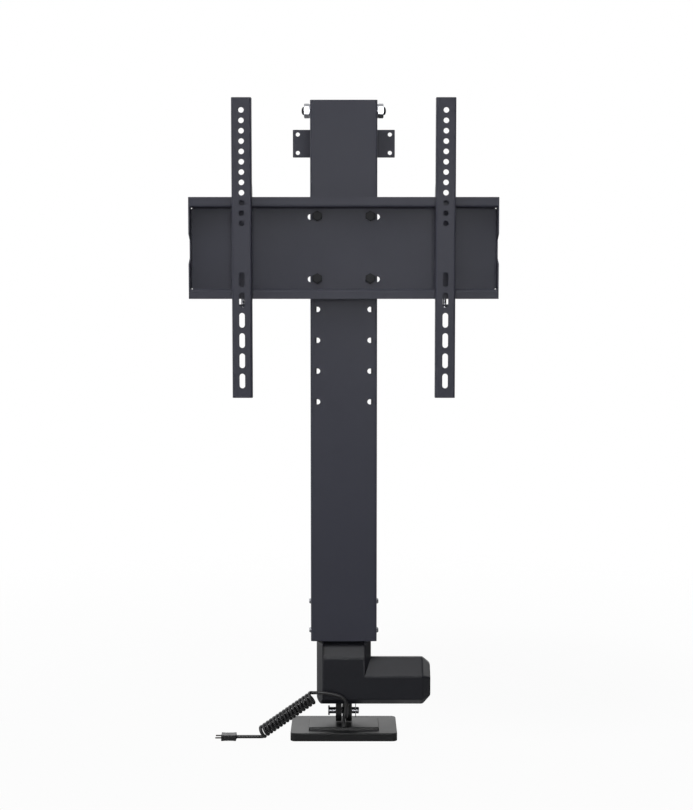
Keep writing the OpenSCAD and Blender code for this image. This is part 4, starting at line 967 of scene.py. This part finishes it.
def cross_nut():
    """A hexagon nut with turned corners, on a washer."""
    nut = combine(hexagon(*NUT_HEXAGON), lathe(NUT_CROWNS, NUT_SIDES), "INTERSECT")
    nut = clean(cut(nut, rod(*NUT_BORE, CAP_SIDES)))
    # One flat of each nut faces the front
    nut.rotation_euler.z = math.pi / 6
    take(nut)
    bpy.ops.object.transform_apply(rotation=True)
    return joined([nut, cut(lathe(WASHER, NUT_SIDES), rod(*WASHER_BORE, CAP_SIDES))])


class LIFT_OT_fasteners(bpy.types.Operator):
    """Adds the bolts, nuts, screws and pin, and finishes the clip, plate nuts and spacers"""
    bl_idname = "lift.fasteners"
    bl_label = "Fasteners"

    def execute(self, context):
        colours, sizes = context.scene.lift_colours, context.scene.lift_sizes
        bright, dull = zinc_plate(colours), phosphate(colours)
        paint(["pin_clip", "plate_nuts", "spacer_tubes"], bright, sizes.sheet_edge)
        bolts = set_down(plate_bolt(), PLATE_BOLTS)
        enter(bolts, "hexagon_bolts", dull, "carriage", "plate_bolts")
        bar = set_down(cross_bar(), [(CROSS_PLACE, RIGHT)])
        enter(bar, "cross_bar", dull, "carriage", "cross_bolt")
        nuts = set_down(cross_nut(), CROSS_NUTS)
        enter(nuts, "hexagon_nuts", bright, "carriage", "cross_nuts")
        for name, node, body, spots, screw in SCREW_SETS:
            enter(set_down(button_screw(*screw), spots), name, bright, body, node)
        screws = set_down(socket_screw(FOOT_CAP, FOOT_SOCKET, FOOT_STEM), PAD_SCREWS)
        enter(screws, "foot_screws", bright, "foot", "pad_screws")
        # Locking screws of the rails: a socket head below, a cut thread above
        for side, place in LOCK_SCREWS.items():
            screw = set_down(socket_screw(LOCK_CAP, LOCK_SOCKET, LOCK_STEM, LOCK_THREAD), [(place, UP)])
            enter(screw, side + "_clamp_screw", bright, side + "_arm", side + "_lock_screw")
        # Clevis pin: a crowned head, a plain bar and a rounded tip, with the clip's groove
        pin = set_down(lathe(CLEVIS_PIN, CAP_SIDES), [(PIN_PLACE, RIGHT)])
        enter(pin, "headed_pin", bright, "frame", "clevis_pin")
        return {"FINISHED"}


def plug_half(size, t):
    """Half of the plug's size a part t of the way along it: it narrows to a waist."""
    return size / 2 - PLUG_WAIST * (1 - (2 * t - 1) ** 2)


def soften(piece, amount, segments):
    """Rounds the sharp edges of the active piece."""
    bevel = piece.modifiers.new("Round", "BEVEL")
    bevel.width = amount * MM
    bevel.segments = segments
    bevel.limit_method = "ANGLE"
    bpy.ops.object.modifier_apply(modifier=bevel.name)
    return piece


def plug_block():
    """The plug's body: a block cut across, drawn in to a waist and rounded."""
    clear_selection()
    bpy.ops.mesh.primitive_cube_add(size=1)
    plug = bpy.context.object
    bpy.ops.object.mode_set(mode="EDIT")
    for k in range(1, PLUG_CUTS):
        bpy.ops.mesh.select_all(action="SELECT")
        bpy.ops.mesh.bisect(plane_co=(0.5 - k / PLUG_CUTS, 0, 0), plane_no=(1, 0, 0))
    bpy.ops.object.mode_set(mode="OBJECT")
    for v in plug.data.vertices:
        t = 0.5 - v.co.x
        v.co = (-PLUG_LONG * t * MM, math.copysign(plug_half(PLUG_WIDE, t), v.co.y) * MM,
                math.copysign(plug_half(PLUG_HIGH, t), v.co.z) * MM)
    return soften(plug, PLUG_ROUND, 4)


def plug_grip(x):
    """One raised rib across the plug's waist."""
    t = -x / PLUG_LONG
    clear_selection()
    bpy.ops.mesh.primitive_cube_add(size=1)
    rib = bpy.context.object
    for v in rib.data.vertices:
        v.co = ((x + GRIP_WIDE * v.co.x) * MM, 2 * v.co.y * (plug_half(PLUG_WIDE, t) - GRIP_SINK) * MM,
                2 * v.co.z * (plug_half(PLUG_HIGH, t) + GRIP_RISE) * MM)
    return soften(rib, GRIP_ROUND, 3)


def sleeve_outline():
    """Outline of the sleeve under the housing: a flange, then rings that taper along the cord."""
    rings = list(SLEEVE_FLANGE)
    for k in range(RING_COUNT):
        r, z = RING_RADIUS - RING_TAPER * k, RING_TOP - RING_PITCH * k
        rings += [(r - inward, z - down) for inward, down in RING_STEPS]
    return rings[::-1]


class LIFT_OT_plug(bpy.types.Operator):
    """Adds the moulded plug, its contacts and the sleeve where the cord leaves the housing"""
    bl_idname = "lift.plug"
    bl_label = "Plug"

    def execute(self, context):
        colours = context.scene.lift_colours
        jacket, contact = pvc(colours), contact_brass(colours)
        body = plug_block()
        grips = [plug_grip(-GRIP_FROM - GRIP_PITCH * k) for k in range(GRIP_COUNT)]
        collar = set_down(lathe(PLUG_COLLAR, BORE_SIDES), [((0, 0, 0), RIGHT)])
        plug = set_down(joined([body, collar, *grips]), [(PLUG_PLACE, UP)])
        enter(plug, "moulded_plug", jacket, "frame", "plug_body")

        # Two contacts with rounded tips
        x, y, z = PLUG_PLACE
        spots = [((x - PLUG_LONG, y + side, z), LEFT) for side in (-PIN_HALF, PIN_HALF)]
        contacts = set_down(lathe(PLUG_CONTACT, STEM_SIDES), spots)
        enter(contacts, "plug_contacts", contact, "frame", "plug_pins")

        sleeve = joined([lathe(sleeve_outline(), BORE_SIDES), rod(*SLEEVE_SPIGOT, BORE_SIDES)])
        sleeve = set_down(sleeve, [(GLAND_PLACE, UP)])
        enter(sleeve, "cord_sleeve", jacket, "frame", "cable_gland")
        return {"FINISHED"}


STEPS = (LIFT_OT_studio, LIFT_OT_plug, LIFT_OT_cord, LIFT_OT_sheet_metal, LIFT_OT_foot, LIFT_OT_housing,
         LIFT_OT_drive, LIFT_OT_fasteners)


class LIFT_PT_panel(bpy.types.Panel):
    """Lists the steps and the values"""
    bl_idname = "LIFT_PT_panel"
    bl_label = "TV Lift"
    bl_space_type = "VIEW_3D"
    bl_region_type = "UI"
    bl_category = "TV Lift"

    def draw(self, context):
        for step in STEPS:
            self.layout.operator(step.bl_idname)
        for group in (context.scene.lift_colours, context.scene.lift_sizes):
            for key in group.__annotations__:
                self.layout.prop(group, key)


CLASSES = (LiftColours, LiftSizes, *STEPS, LIFT_PT_panel)


def register():
    for item in CLASSES:
        bpy.utils.register_class(item)
    bpy.types.Scene.lift_colours = bpy.props.PointerProperty(type=LiftColours)
    bpy.types.Scene.lift_sizes = bpy.props.PointerProperty(type=LiftSizes)


def unregister():
    del bpy.types.Scene.lift_sizes
    del bpy.types.Scene.lift_colours
    for item in reversed(CLASSES):
        bpy.utils.unregister_class(item)


def main():
    register()
    bpy.ops.lift.studio()
    bpy.ops.lift.plug()
    bpy.ops.lift.cord()
    bpy.ops.lift.sheet_metal()
    bpy.ops.lift.foot()
    bpy.ops.lift.housing()
    bpy.ops.lift.drive()
    bpy.ops.lift.fasteners()


if __name__ == "__main__":
    main()
